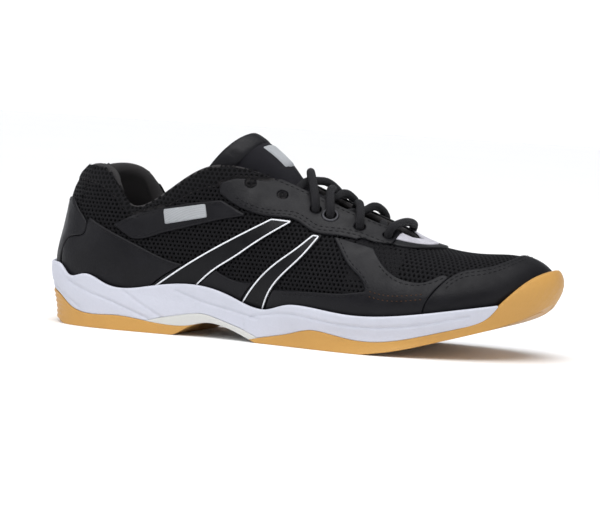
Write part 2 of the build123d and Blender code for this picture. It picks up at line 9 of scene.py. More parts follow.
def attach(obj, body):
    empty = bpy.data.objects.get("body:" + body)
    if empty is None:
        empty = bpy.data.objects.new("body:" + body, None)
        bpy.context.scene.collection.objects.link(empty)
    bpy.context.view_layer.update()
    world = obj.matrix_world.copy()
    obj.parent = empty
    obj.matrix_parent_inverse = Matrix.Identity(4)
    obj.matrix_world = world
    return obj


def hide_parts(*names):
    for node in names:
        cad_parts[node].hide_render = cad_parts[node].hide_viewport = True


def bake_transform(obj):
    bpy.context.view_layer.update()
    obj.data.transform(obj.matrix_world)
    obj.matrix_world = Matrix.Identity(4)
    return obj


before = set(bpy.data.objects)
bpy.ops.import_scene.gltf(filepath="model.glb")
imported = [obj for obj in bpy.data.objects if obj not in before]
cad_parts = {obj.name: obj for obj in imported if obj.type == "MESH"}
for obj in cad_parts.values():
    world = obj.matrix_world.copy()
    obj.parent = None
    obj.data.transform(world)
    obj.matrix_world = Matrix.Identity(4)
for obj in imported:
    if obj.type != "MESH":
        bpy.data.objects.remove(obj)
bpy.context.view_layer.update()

# Right court shoe. Lengths below are millimetres from the last's own datum, as in the CAD source:
# +X to the toe, -Y to the outer side, +Z up. SHIFT moves them into the row frame.
GROUND = -2.4
SHIFT = np.array([2.25, -0.69, 2.4])

STATIONS = [
    [(-143, 0, 14), (-147.5, 0, 32), (-145, 0, 50), (-142.5, 0, 64), (-139.5, 0, 77), (-130.5, 0, 86.5)],
    [(-134, -21, 14), (-138, -24.5, 31), (-136, -23.5, 48), (-134, -21.5, 63), (-131, -18.5, 78),
     (-124, -14.5, 89.5)],
    [(-112, -30, 14), (-113, -34, 30), (-112, -33.5, 46), (-110.5, -32, 60), (-109, -30, 73),
     (-107, -25, 84)],
    [(-85, -31.5, 12), (-86, -35, 27), (-88, -35, 41), (-90, -33.5, 51), (-92, -32, 60), (-94.5, -28, 67)],
    [(-48, -32, 11.5), (-50, -36, 28), (-54, -36.5, 45), (-57, -34.5, 60), (-61, -32, 74), (-65, -28, 84)],
    [(-18, -35, 11), (-20, -39, 24), (-24, -38.5, 44), (-29, -35, 62), (-34, -30, 80), (-38, -25, 95)],
    [(5, -39.5, 11), (4, -44, 24), (1, -42, 41), (-3, -36, 58), (-8, -27.5, 74), (-12, -16, 88)],
    [(36, -45.5, 11.5), (36, -50, 23), (34, -46, 39), (31, -38, 52), (27, -27, 63), (23, -14, 75)],
    [(66, -46.5, 13.5), (67, -51, 24), (66, -46, 38), (62, -36, 49), (57, -24, 57), (53, -12.5, 64)],
    [(99, -39, 17.5), (101.5, -43.5, 28.5), (99, -38.5, 41), (89, -28, 49.5), (76, -16.5, 54.5),
     (61.5, -7, 59.3)],
    [(124, -22, 23.5), (128, -25.5, 33.5), (125, -23, 44), (110, -16, 51.5), (88, -9.5, 53.4),
     (64, -3, 58.8)],
    [(134, 2, 27), (141, 2, 37), (137.5, 2, 47.5), (120, 1.5, 53.8), (94, 1, 53.2), (65, 0, 58.5)],
]
HEIGHTS = [0.0, 0.2, 0.4, 0.6, 0.8, 1.0]
MEDIAL_X = [-150, -100, -45, 0, 40, 75, 110, 135, 150]
MEDIAL_EXTRA = [0, 0, -4, -4.5, -1.5, 3, 6, 8, 0]

# Side-view curves (x, z): the sole's, then the upper's panels.
HEEL_BEVEL = [(-158, 14), (-150, 6.5), (-143, 0.5), (-135, -2.2), (-128, -3.4)]
ARCH = [(-68, -3.4), (-63, -2), (-54, 3), (-44, 6), (-30, 4), (-17, -0.8), (-10, -3.4)]
TOE_SPRING = [(46, -3.4), (52, -2.4), (69, 0.6), (95, 7.8), (118, 15), (136, 23.5), (144, 30), (152, 42)]
WALL_TOP = [(-154, 33), (-145, 32.5), (-137, 31.5), (-130, 26), (-120, 27.6), (-105, 22.8), (-95, 21.4),
            (-79, 23.7), (-50, 26.6), (-31, 22.7), (-14, 17), (-8, 16.6), (5, 20.2), (15, 20.8),
            (42, 18.4), (72, 20), (99, 24.4), (123, 28.6)]
BUMPER_TOP = [(123, 28.6), (130, 36.5), (137, 43.5), (143, 47), (154, 49)]
HEEL_GUM_TOP = [(-158, 18), (-146, 17), (-138, 14.5), (-130, 9), (-118, 5.4), (-98, 5.8), (-82, 4.4),
                (-66, 3), (-56, 3.4), (-49, 5)]
FORE_GUM_TOP = [(-20, -1.6), (-8, 1.2), (9, 5), (20, 7.8), (32, 7), (47, 4.8), (62, 5), (84, 9.6),
                (103, 15), (116, 20.4), (123, 28.6)]
SHANK_TOP = [(-86, 2), (-74, 6), (-60, 9), (-46, 10.8), (-34, 8), (-22, 4.5), (-12, 0.5)]
STRIPE_1_REAR = [(-82, 19), (-79, 23), (-59, 37), (-38, 50), (-24, 58), (-10, 66)]
STRIPE_1_FRONT = [(3, 65), (-16, 52), (-27, 44), (-39, 36), (-49, 27), (-54, 19)]
STRIPE_2_REAR = [(-24, 12), (-23, 20), (-15, 31), (-3, 43), (7, 51), (15, 59)]
STRIPE_2_FRONT = [(21, 59), (15, 49), (4, 37), (-3, 28), (-8, 17), (-9, 11)]
HEEL_EDGE = [(-119.5, 59), (-107, 53.3), (-91, 47), (-78, 42), (-66, 38.4), (-59.8, 37.4)]
BACKSTAY_EDGE = [(-134, 69), (-126, 61), (-121, 55), (-122, 50), (-132, 47), (-137, 40), (-138, 20)]
TOE_EDGE = [(84, 12), (85, 26), (90, 35), (95, 41), (101, 45), (109, 46.8), (118, 49.8), (129, 58)]
BAND_TOP = [(-104, 56), (-93, 62), (-73, 68), (-57, 71.5), (-40, 74)]
BAND_FOOT = [(-24, 66.5), (-42, 62.5), (-61, 57), (-76, 52.5), (-85, 49.5), (-92, 49)]
STAY_FOOT = [(-42, 78), (-34, 73), (-24, 69), (-10, 66.6), (3, 65.6), (15, 60), (24, 59), (40, 57),
             (50, 54), (60, 52)]
SADDLE_REAR = [(26, 58.5), (32, 52), (41, 43), (50, 35.5), (52, 31.5)]
SADDLE_FOOT = [(52, 31.5), (40, 29.4), (26, 28.8), (3, 28)]
SADDLE_FRONT = [(96, 41), (92, 42.5), (86, 39.5), (76, 38), (66, 40.5), (57, 46.5), (50, 53.5)]
EYELETS = (0.234, 0.259, 0.286, 0.298, 0.322, 0.348)
EYELET_HEIGHT = 0.87
EYELET_R = 2.9
FAR = 170
SOLE_GAP = 2.0
SOLE_WALL = 1.7
BUMPER = 1.6
SOLE_FLARE = 5.5
COLLAR_END = 0.205
COLLAR_START = 0.60
COLLAR_PAD = 4.2
AROUND = 780.0                      # rough lengths of the whole loop and of a wall line
UPWARD = 95.0


# ---------------------------------------------------------------- splines and the upper's surface
def spline(knots, values, at, periodic=False):
    """A cubic spline through the values, natural or periodic, evaluated at the given places."""
    knots = np.asarray(knots, float)
    values = np.asarray(values, float)
    at = np.asarray(at, float)
    n = len(knots)
    h = np.diff(knots)
    slope = np.diff(values, axis=0) / h.reshape((-1,) + (1,) * (values.ndim - 1))
    system = np.zeros((n, n))
    right = np.zeros_like(values)
    for i in range(1, n - 1):
        system[i, i - 1:i + 2] = h[i - 1], 2 * (h[i - 1] + h[i]), h[i]
        right[i] = 6 * (slope[i] - slope[i - 1])
    if periodic:
        system[0, 0], system[0, 1], system[0, n - 2] = 2 * (h[-1] + h[0]), h[0], h[-1]
        right[0] = 6 * (slope[0] - slope[-1])
        system[-1, 0], system[-1, -1] = 1, -1
        at = knots[0] + (at - knots[0]) % (knots[-1] - knots[0])
    else:
        system[0, 0] = system[-1, -1] = 1
    bend = np.linalg.solve(system, right.reshape(n, -1)).reshape(values.shape)
    i = np.clip(np.searchsorted(knots, at, side="right") - 1, 0, n - 2)
    wide = (slice(None),) + (None,) * (values.ndim - 1)
    step = h[i][wide]
    a = (knots[i + 1] - at)[wide] / step
    b = 1 - a
    curved = ((a ** 3 - a) * bend[i] + (b ** 3 - b) * bend[i + 1]) * step ** 2 / 6
    return a * values[i] + b * values[i + 1] + curved


def medial_station(station):
    points = []
    for row, (x, y, z) in enumerate(station):
        fade = max(0, 1 - row / 4)
        points.append((x, -y + fade * float(np.interp(x, MEDIAL_X, MEDIAL_EXTRA)), z))
    return points


LOOP = [list(s) for s in STATIONS] + [medial_station(s) for s in STATIONS[-2:0:-1]]
LOOP = np.array(LOOP + [LOOP[0]], dtype=float)
STEPS = np.linalg.norm(np.diff(LOOP[:, 1], axis=0), axis=1)
LOOP_AT = np.concatenate([[0], np.cumsum(STEPS)]) / STEPS.sum()


def surface(u, v):
    grid = spline(HEIGHTS, np.moveaxis(LOOP, 1, 0), v)
    grid = np.moveaxis(grid, 0, 1).copy()
    grid[-1] = grid[0]
    return spline(LOOP_AT, grid, u, periodic=True)


TABLE_U = np.linspace(0, 1, 1601)
TABLE_V = np.linspace(-0.45, 1.05, 251)
TABLE = surface(TABLE_U, TABLE_V)
E = 1e-3
ACROSS_U = surface(TABLE_U + E, TABLE_V) - surface(TABLE_U - E, TABLE_V)
UP_V = surface(TABLE_U, TABLE_V + E) - surface(TABLE_U, TABLE_V - E)
NORMALS = np.cross(ACROSS_U, UP_V)
NORMALS /= np.linalg.norm(NORMALS, axis=-1, keepdims=True)
RISES = np.linalg.norm(UP_V, axis=-1, keepdims=True) / (2 * E)


def look_up(table, u, v):
    """Bilinear lookup of a table of the surface at scattered places."""
    u, v = np.broadcast_arrays(np.asarray(u, float) % 1, np.asarray(v, float))
    a = u * (len(TABLE_U) - 1)
    b = np.clip((v - TABLE_V[0]) / (TABLE_V[1] - TABLE_V[0]), 0, len(TABLE_V) - 1.001)
    i = np.minimum(a.astype(int), len(TABLE_U) - 2)
    j = b.astype(int)
    a = (a - i)[..., None]
    b = (b - j)[..., None]
    return ((1 - a) * ((1 - b) * table[i, j] + b * table[i, j + 1])
            + a * ((1 - b) * table[i + 1, j] + b * table[i + 1, j + 1]))


def skin(u, v, lift=0.0):
    return look_up(TABLE, u, v) + look_up(NORMALS, u, v) * np.asarray(lift, float)[..., None]


def normal(u, v):
    n = look_up(NORMALS, u, v)
    return n / np.linalg.norm(n, axis=-1, keepdims=True)


# ---------------------------------------------------------------- side-view curves and fields
def curve(points, spacing=1.0):
    """A smooth curve through the points; a pair is a straight line."""
    points = np.asarray(points, float)
    at = np.concatenate([[0], np.cumsum(np.linalg.norm(np.diff(points, axis=0), axis=1))])
    places = np.linspace(0, at[-1], max(2, int(at[-1] / spacing)))
    if len(points) == 2:
        return points[0] + (points[1] - points[0]) * (places / at[-1])[:, None]
    return spline(at, points, places)


def ring_of(*curves):
    """Curves run head to tail into a closed outline."""
    return np.concatenate([curve(c) for c in curves])


def shifted(points, dx, dz):
    return [(x + dx, z + dz) for x, z in points]


def line_distance(points, line, closed=False):
    """Distance from each 2D point to a polyline."""
    line = np.asarray(line, float)
    ends = np.roll(line, -1, axis=0) if closed else line[1:]
    starts = line if closed else line[:-1]
    best = np.full(len(points), 1e9)
    for a, b in zip(starts, ends):
        run = b - a
        t = np.clip(((points - a) @ run) / max(run @ run, 1e-9), 0, 1)
        best = np.minimum(best, np.hypot(*(points - a - t[:, None] * run).T))
    return best


def inside(points, line):
    """Signed distance to a closed outline, positive inside it."""
    x, z = points.T
    crossing = np.zeros(len(points), bool)
    for (ax, az), (bx, bz) in zip(line, np.roll(line, -1, axis=0)):
        spans = (az > z) != (bz > z)
        crossing ^= spans & (x < ax + (z - az) * (bx - ax) / (bz - az if bz != az else 1e-9))
    return np.where(crossing, 1, -1) * line_distance(points, line, closed=True)


OUTLINES = {
    "heel_overlay": ring_of([(-137, 14), (-137, 20)], BACKSTAY_EDGE[::-1][1:5], HEEL_EDGE,
                            STRIPE_1_REAR[:3][::-1], [(-83, 14), (-137, 14)]),
    "stripe_rear": ring_of(STRIPE_1_REAR, STRIPE_1_FRONT),
    "stripe_front": ring_of(STRIPE_2_REAR, STRIPE_2_FRONT),
    "waist_overlay": ring_of(STRIPE_1_FRONT[3:], [(-53, 12), (-24.2, 12)], STRIPE_2_REAR[:3],
                             [(-17.5, 30.2), (-25, 30.4), (-37.5, 34.6)]),
    "forefoot_overlay": ring_of(STRIPE_2_FRONT[3:][::-1], SADDLE_FOOT[::-1], SADDLE_REAR[::-1],
                                [(26, 58.5), (50, 53.5)], SADDLE_FRONT[::-1], TOE_EDGE[:4][::-1],
                                [(83, 10), (-8, 10)]),
    "quarter_band": ring_of(BAND_TOP, BAND_FOOT),
    "toe_cap": ring_of([(FAR, 58), (FAR, 12)], TOE_EDGE),
    "backstay": ring_of([(-FAR, 20), (-FAR, 69)], BACKSTAY_EDGE),
    "eyestay": ring_of([(FAR, 52), (FAR, 120), (-42, 120)], STAY_FOOT),
    "side_label": ring_of([(-74, 66.5), (-49, 71.3)], [(-47, 64), (-72, 58.5)]),
}
THROAT_CENTRE = 55.0
THROAT_OUT = 26.0
SILVER_OUT = 20.5
EYESTAY_HALF = 28.5
RIM_FOOT = [(-50, 80), (-42, 83.5), (-34, 86.5), (-26, 86.5), (-18, 85.5), (-12, 87), (-6, 96)]


def side_at(side, u):
    """A place on the loop, given for the lateral side, on either side of the shoe."""
    return u if side == "lateral" else 1 - u


def below_top(u, v, top=0.985):
    return (top - v) * look_up(RISES, u, v)[..., 0]


def from_throat(points, radius=THROAT_OUT):
    """Signed distance in plan to the round front of the lacing, positive inside it."""
    ahead = points[:, 0] - THROAT_CENTRE - 3
    out = radius - np.hypot(points[:, 0] - THROAT_CENTRE, points[:, 1])
    return np.minimum(ahead, out)


def below_rim(points):
    """Distance below the padded rim that runs on over the rear of the eyestay."""
    return np.interp(points[:, 0], *np.transpose(RIM_FOOT)) - points[:, 2]


def eyelet_gap(points, sides):
    """Distance outside the nearest eyelet's hole."""
    gap = np.full(len(points), 1e9)
    for at in EYELETS:
        for side in sides:
            hole = skin(side_at(side, at), EYELET_HEIGHT)
            gap = np.minimum(gap, np.linalg.norm(points - hole, axis=1) - EYELET_R)
    return gap


def side_field(name, side):
    def field(u, v, points):
        d = inside(points[:, [0, 2]], OUTLINES[name])
        if name == "eyestay":
            d = np.minimum(d, np.minimum(THROAT_CENTRE + 3 - points[:, 0], eyelet_gap(points, [side])))
            corner = EYESTAY_HALF - np.hypot(np.maximum(points[:, 0] - 45, 0), points[:, 1])
            d = np.where(points[:, 0] > 40, np.minimum(d, corner), d)
            d = np.minimum(d, below_rim(points))
        return np.minimum(d, below_top(u, v))
    return field


def throat_field(u, v, points):
    return np.minimum(from_throat(points, SILVER_OUT), below_top(u, v))


def nose_field(u, v, points):
    return np.minimum(from_throat(points), -from_throat(points, SILVER_OUT))


# name: (field for a side or None for a middle piece, loop range, height range)
PANELS = {}
for side in ("lateral", "medial"):
    for name, (start, end), heights in (
            ("heel_overlay", (0.02, 0.19), (0.04, 0.7)), ("stripe_rear", (0.11, 0.30), (0.08, 0.95)),
            ("stripe_front", (0.18, 0.33), (0.0, 0.9)), ("waist_overlay", (0.15, 0.27), (0.0, 0.45)),
            ("forefoot_overlay", (0.22, 0.44), (0.0, 0.93)), ("quarter_band", (0.07, 0.26), (0.4, 0.9)),
            ("eyestay", (0.19, 0.42), (0.55, 0.985)), ("side_label", (0.11, 0.24), (0.5, 0.95))):
        ends = sorted((side_at(side, start), side_at(side, end)))
        PANELS[f"{name}_{side}"] = (side_field(name, side), ends, heights)
PANELS["toe_cap"] = (side_field("toe_cap", None), (0.36, 0.64), (0.04, 0.9))
PANELS["backstay"] = (side_field("backstay", None), (-0.075, 0.075), (0.06, 0.82))
PANELS["throat_piece"] = (throat_field, (0.33, 0.67), (0.55, 0.985))
PANELS["throat_nose"] = (nose_field, (0.33, 0.67), (0.55, 0.985))


# ---------------------------------------------------------------- meshes
def make_object(name, points, faces, smooth=True):
    """A mesh object in the row frame from points in millimetres."""
    mesh = bpy.data.meshes.new(name)
    mesh.from_pydata(((np.asarray(points) + SHIFT) / 1000).tolist(), [], [list(f) for f in faces])
    mesh.update()
    if smooth:
        mesh.polygons.foreach_set("use_smooth", [True] * len(mesh.polygons))
    obj = bpy.data.objects.new(name, mesh)
    bpy.context.scene.collection.objects.link(obj)
    return obj


def grid_faces(rows, columns, wrap_rows=False, wrap_columns=False):
    faces = []
    for i in range(rows if wrap_rows else rows - 1):
        for j in range(columns if wrap_columns else columns - 1):
            k, l = (i + 1) % rows, (j + 1) % columns
            faces.append((i * columns + j, k * columns + j, k * columns + l, i * columns + l))
    return faces


def split_at(us, vs, ds, faces, level):
    """Divides the faces that a level of the field crosses, along it."""
    cuts = {}
    result = []
    for face in faces:
        high = [ds[i] > level for i in face]
        if all(high) or not any(high):
            result.append(face)
            continue
        low_part, high_part = [], []
        for i, a in enumerate(face):
            b = face[(i + 1) % len(face)]
            (high_part if ds[a] > level else low_part).append(a)
            if (ds[a] > level) != (ds[b] > level):
                key = (min(a, b), max(a, b))
                if key not in cuts:
                    t = (level - ds[a]) / (ds[b] - ds[a])
                    cuts[key] = len(us)
                    us.append(us[a] + t * (us[b] - us[a]))
                    vs.append(vs[a] + t * (vs[b] - vs[a]))
                    ds.append(level)
                low_part.append(cuts[key])
                high_part.append(cuts[key])
        result += [p for p in (low_part, high_part) if len(p) > 2]
    return result


def patch(name, field, u_range, v_range, base, thick, edge=0.8, step=1.3, hollow=None):
    """A panel lying on the upper with a rounded edge all round."""
    columns = max(8, round((u_range[1] - u_range[0]) * AROUND / step))
    rows = max(8, round((v_range[1] - v_range[0]) * UPWARD / step))
    uu, vv = np.meshgrid(np.linspace(*u_range, columns), np.linspace(*v_range, rows), indexing="ij")
    us, vs = uu.ravel(), vv.ravel()
    ds = field(us, vs, skin(us, vs, 0 * us))
    faces = [f for f in grid_faces(columns, rows) if max(ds[i] for i in f) > 0]
    us, vs, ds = us.tolist(), vs.tolist(), ds.tolist()
    for level in (0.0, 0.15 * edge, 0.45 * edge, edge):
        faces = split_at(us, vs, ds, faces, level)
    us, vs, ds = np.array(us), np.array(vs), np.array(ds)
    faces = [f for f in faces if ds[list(f)].min() > -1e-6 and ds[list(f)].max() > 1e-6]
    near = np.clip(ds / edge, 0, 1)
    lift = base + thick * np.sqrt(1 - (1 - near) ** 2)
    if hollow is not None:
        lift = lift - hollow(us, vs, ds)
    used, index = np.unique(np.concatenate([np.array(f) for f in faces]), return_inverse=True)
    ends = np.cumsum([len(f) for f in faces])[:-1]
    faces = [f.tolist() for f in np.split(index, ends)]
    obj = make_object(name, skin(us[used], vs[used], lift[used]), faces)
    shell = obj.modifiers.new("shell", "SOLIDIFY")
    shell.thickness = 0.0007
    shell.offset = -1
    return obj


def tube(name, path, radii, sides=10, closed=False, flatten=1.0, up=None):
    """A round or flattened tube along a line of points. up is the flattening direction."""
    path = np.asarray(path, float)
    n = len(path)
    if closed:
        run = np.roll(path, -1, axis=0) - np.roll(path, 1, axis=0)
    else:
        run = np.gradient(path, axis=0)
    run /= np.linalg.norm(run, axis=1, keepdims=True)
    if up is None:
        frames = [np.cross(run[0], [0.3, 0.2, 0.93])]
        for i in range(1, n):
            frames.append(frames[-1] - run[i] * (frames[-1] @ run[i]))
            frames[-1] /= np.linalg.norm(frames[-1])
        frames[0] /= np.linalg.norm(frames[0])
        up = np.array(frames)
    up = up - run * np.sum(up * run, axis=1, keepdims=True)
    up /= np.linalg.norm(up, axis=1, keepdims=True)
    side = np.cross(run, up)
    angles = np.arange(sides) * 2 * math.pi / sides
    radii = np.broadcast_to(np.asarray(radii, float), (n,) if np.ndim(radii) < 2 else (n, sides))
    if radii.ndim == 1:
        radii = np.repeat(radii[:, None], sides, axis=1)
    points = (path[:, None] + side[:, None] * (np.cos(angles) * radii)[..., None]
              + up[:, None] * (np.sin(angles) * radii * flatten)[..., None])
    faces = grid_faces(n, sides, wrap_rows=closed, wrap_columns=True)
    faces = [f[::-1] for f in faces]
    if not closed:
        faces += [tuple(range(sides)), tuple(reversed(range((n - 1) * sides, n * sides)))]
    return make_object(name, points.reshape(-1, 3), faces)


def even(path, spacing):
    """Places along a 3D line at an even spacing."""
    path = np.asarray(path, float)
    at = np.concatenate([[0], np.cumsum(np.linalg.norm(np.diff(path, axis=0), axis=1))])
    places = np.linspace(0, at[-1], max(2, round(at[-1] / spacing) + 1))
    return np.stack([np.interp(places, at, path[:, k]) for k in range(path.shape[1])], axis=1)


SIDE_U = {"lateral": (0.004, 0.496), "medial": (0.504, 0.996)}
VAMP_AXIS = 12.0
VAMP_ROUND = 36.0


def side_on(points):
    return points[:, [0, 2]]


def unrolled(points):
    """The vamp laid flat: along the shoe, and round a cylinder lying inside the toe."""
    return np.stack([points[:, 0], VAMP_ROUND * np.arctan2(points[:, 1], points[:, 2] - VAMP_AXIS)], axis=1)


HEEL_AXIS = -100.0
HEEL_ROUND = 30.0


def wrapped(points):
    """The back of the heel laid flat: round an upright cylinder, and height."""
    return np.stack([HEEL_ROUND * np.arctan2(points[:, 1], HEEL_AXIS - points[:, 0]), points[:, 2]], axis=1)


VIEWS = {"lateral": (side_on, SIDE_U["lateral"]), "medial": (side_on, SIDE_U["medial"]),
         "vamp": (unrolled, (0.27, 0.73)), "heel": (wrapped, (-0.12, 0.12))}
COARSE = {}
for view, (flatten, (start, end)) in VIEWS.items():
    uu, vv = np.meshgrid(np.linspace(start, end, 260), np.linspace(0.0, 0.985, 70), indexing="ij")
    coarse_flat = flatten(skin(uu.ravel(), vv.ravel(), 0 * uu.ravel()))
    tree = KDTree(len(coarse_flat))
    for number, (a, b) in enumerate(coarse_flat):
        tree.insert((a, b, 0), number)
    tree.balance()
    COARSE[view] = (uu.ravel(), vv.ravel(), tree)


def place(view, points):
    """Loop places of the points of a flat view of the shoe."""
    us, vs, tree = COARSE[view]
    flatten = VIEWS[view][0]
    points = np.asarray(points, float)
    nearest = [tree.find((a, b, 0))[1] for a, b in points]
    u, v = us[nearest], vs[nearest]
    for _ in range(4):
        here = flatten(skin(u, v, 0 * u))
        du = (flatten(skin(u + E, v, 0 * u)) - here) / E
        dv = (flatten(skin(u, v + E, 0 * u)) - here) / E
        det = du[:, 0] * dv[:, 1] - du[:, 1] * dv[:, 0]
        det = np.where(np.abs(det) < 400, 400 * np.sign(det + 1e-9), det)
        miss = points - here
        step_u = (miss[:, 0] * dv[:, 1] - miss[:, 1] * dv[:, 0]) / det
        step_v = (du[:, 0] * miss[:, 1] - du[:, 1] * miss[:, 0]) / det
        u = u + np.clip(step_u, -0.01, 0.01)
        v = np.clip(v + np.clip(step_v, -0.03, 0.03), -0.4, 1.0)
    return u, v


def stitches(name, rows, length=2.3, gap=0.9, radius=0.3, lift=1.3):
    """Thread laid in short stitches. Each row is a list of loop places (u, v)."""
    points, faces = [], []
    ring = 6
    profile = [(-0.5, 0.25), (-0.36, 0.85), (0.0, 1.0), (0.36, 0.85), (0.5, 0.25)]
    angles = np.arange(ring) * 2 * math.pi / ring
    for u, v, *own in rows:
        row_lift = own[0] if own else lift
        line = skin(u, v, np.full(len(u), row_lift))
        at = np.concatenate([[0], np.cumsum(np.linalg.norm(np.diff(line, axis=0), axis=1))])
        n = int(at[-1] / (length + gap))
        if n < 1:
            continue
        places = (np.arange(n) + 0.5) * at[-1] / n
        middle = np.stack([np.interp(places, at, line[:, k]) for k in range(3)], axis=1)
        ahead = np.stack([np.interp(places + 0.5, at, line[:, k]) for k in range(3)], axis=1)
        back = np.stack([np.interp(places - 0.5, at, line[:, k]) for k in range(3)], axis=1)
        out = normal(np.interp(places, at, u), np.interp(places, at, v))
        run = ahead - back
        run /= np.linalg.norm(run, axis=1, keepdims=True)
        across = np.cross(out, run)
        for m, r, o, a in zip(middle, run, out, across):
            first = len(points)
            for along, wide in profile:
                sink = 0.5 * radius * (2 * along) ** 2
                centre = m + r * along * length - o * sink
                for angle in angles:
                    points.append(centre + radius * wide * (a * math.cos(angle) + 0.75 * o * math.sin(angle)))
            faces += [tuple(first + i for i in f)
                      for f in grid_faces(len(profile), ring, wrap_columns=True)]
            faces.append(tuple(first + i for i in reversed(range(ring))))
            faces.append(tuple(first + (len(profile) - 1) * ring + i for i in range(ring)))
    return make_object(name, points, faces)


# ---------------------------------------------------------------- sole
def function_of(points):
    """A side-view curve as heights over x, nan outside it."""
    line = curve(points, 0.5)
    order = np.argsort(line[:, 0])
    return lambda x: np.interp(x, line[order, 0], line[order, 1], left=np.nan, right=np.nan)


def highest(x, *functions):
    return np.nanmax(np.stack([np.full_like(x, -99.0)] + [f(x) for f in functions]), axis=0)


HEEL_GUM, FORE_GUM, SHANK = (function_of(c) for c in (HEEL_GUM_TOP, FORE_GUM_TOP, SHANK_TOP))
TOP, BUMPER_HEIGHT = function_of(WALL_TOP), function_of(BUMPER_TOP)
UNDERSIDE = [lambda x: np.full_like(x, GROUND)] + [function_of(c) for c in (HEEL_BEVEL, ARCH, TOE_SPRING)]


def underside(x):
    return highest(x, *UNDERSIDE)


def wall_top(x):
    return np.where(x > 123, BUMPER_HEIGHT(x), TOP(x))


def gum_top(x):
    return highest(x, HEEL_GUM, FORE_GUM)


def gum_line(x):
    """Top of the gum, which takes in the whole toe bumper."""
    return np.where(x > 123, wall_top(x), gum_top(x))


def foam_foot(x):
    return np.maximum(np.maximum(highest(x, SHANK), gum_line(x)), underside(x))


def shank_foot(x):
    return np.maximum(gum_line(x), underside(x))


def wall_points(u, v, out):
    """Points of the sole's side wall, pushed out level by out millimetres from its inner face."""
    points = skin(u, v, np.full(np.shape(u), SOLE_GAP))
    away = normal(u, v)
    away[..., 2] = 0
    away /= np.linalg.norm(away, axis=-1, keepdims=True)
    return points + away * np.asarray(out)[..., None]


def wall_thickness(u, v):
    bumper = BUMPER * np.exp(-((u - 0.5) / 0.05) ** 2)
    flare = SOLE_FLARE * (np.clip(0.2 - v, 0, None) / 0.4) ** 1.5
    return SOLE_WALL + bumper + flare


def crossing(u, height):
    """Height fraction at which each wall line reaches a side-view curve."""
    v = np.linspace(-0.44, 0.5, 189)
    uu, vv = np.meshgrid(u, v, indexing="ij")
    points = wall_points(uu, vv, wall_thickness(uu, vv))
    above = points[..., 2] - height(points[..., 0])
    found = []
    for row in above:
        below = np.flatnonzero(np.nan_to_num(row, nan=-1.0) < 0)
        last = min(below[-1] if len(below) else 0, len(v) - 2)
        low, high = row[last], row[last + 1]
        t = low / (low - high) if low < 0 <= high else 0.0
        found.append(v[last] + t * (v[last + 1] - v[last]))
    return np.array(found)


def arc_gap(t):
    """How far a rounded edge is set back: 1 at the edge, t = 0, and 0 from t = 1 on."""
    return 1 - np.sqrt(1 - (1 - t) ** 2)


def band(name, u, foot, top, proud=0.0, rows=22, round_top=0.9, round_foot=0.35, relief=None, inner=1.6):
    """A closed strip of the side wall between two side-view curves, its edges rounded."""
    low, high = crossing(u, foot), crossing(u, top)
    keep = high - low > 0.006
    u, low, high = u[keep], low[keep], high[keep]
    closed = u[0] < 0.002 and u[-1] > 0.998
    height = (high - low) * look_up(RISES, u, low)[:, 0]
    profile = np.concatenate([[0.0], np.sin(np.linspace(0, math.pi / 2, 4))[1:] * 0.06,
                              np.linspace(0.06, 0.93, rows)[1:-1],
                              1 - 0.07 * (1 - np.sin(np.linspace(0, math.pi / 2, 5)))])
    rings = []
    for s in profile:
        v = low + (high - low) * s
        over = (1 - s) * height
        under = s * height
        top_t = np.clip(over / round_top, 0, 1)
        foot_t = np.clip(under / max(round_foot, 1e-3), 0, 1)
        tuck = round_top * arc_gap(top_t) + round_foot * arc_gap(foot_t)
        out = wall_thickness(u, v) + proud - tuck
        if relief is not None:
            points = wall_points(u, v, wall_thickness(u, v))
            out = out + relief(u, v, points[:, 0], points[:, 2])
        rings.append(wall_points(u, v, out))
    for s in (1.0, 0.0):
        v = low + (high - low) * s
        rings.append(wall_points(u, v, wall_thickness(u, v) - inner))
    points = np.stack(rings, axis=1)
    count = points.shape[1]
    faces = grid_faces(len(u), count, wrap_rows=closed, wrap_columns=True)
    if not closed:
        faces += [tuple(reversed(range(count))), tuple(range((len(u) - 1) * count, len(u) * count))]
    return make_object(name, points.reshape(-1, 3), faces)


# moulded lines of the foam: side-view curves, with the depth of each
GROOVES = [([(-130, 23), (-116, 17.5), (-103, 14), (-90, 9.5), (-79, 5.5)], 0.8),
           ([(-94, 20), (-84, 13.8), (-77, 10), (-70, 6.5)], 0.6),
           ([(-150, 22), (-140, 18), (-130, 12.5), (-122, 8)], 0.6),
           ([(-16, 12), (6, 15.5), (30, 13.5), (58, 12.5), (84, 16), (108, 22)], 0.7),
           ([(-62, 22.5), (-48, 18), (-30, 14.5), (-12, 11)], 0.6)]
GROOVE_LINES = [(curve(points, 1.5), depth) for points, depth in GROOVES]


def foam_relief(u, v, x, z):
    at = np.stack([x, z], axis=1)
    out = 0.35 * np.sin(np.clip((z - gum_line(x)) / 14, 0, 1) * math.pi)
    for line, depth in GROOVE_LINES:
        out = out - depth * np.exp(-(line_distance(at, line) / 0.75) ** 2)
    return out


def heel_relief(u, v, x, z):
    """Fine moulded steps round the back of the heel."""
    return 0.4 * (0.5 + 0.5 * np.sin(2.2 * z)) * np.clip((-134 - x) / 4, 0, 1)


def gum_relief(u, v, x, z):
    """Fine moulded ribs on the toe bumper."""
    toe = np.clip((x - 118) / 8, 0, 1)
    rib = 0.5 + 0.5 * np.cos(2 * math.pi * (z - 30) / 3.4)
    middle = np.clip((z - 27) / 3, 0, 1) * np.clip((44 - z) / 3, 0, 1)
    return -0.3 * toe * (rib ** 4) * middle


# ---------------------------------------------------------------- materials
SPECULAR = 0.16                     # the low gloss of black cloth and coated leather


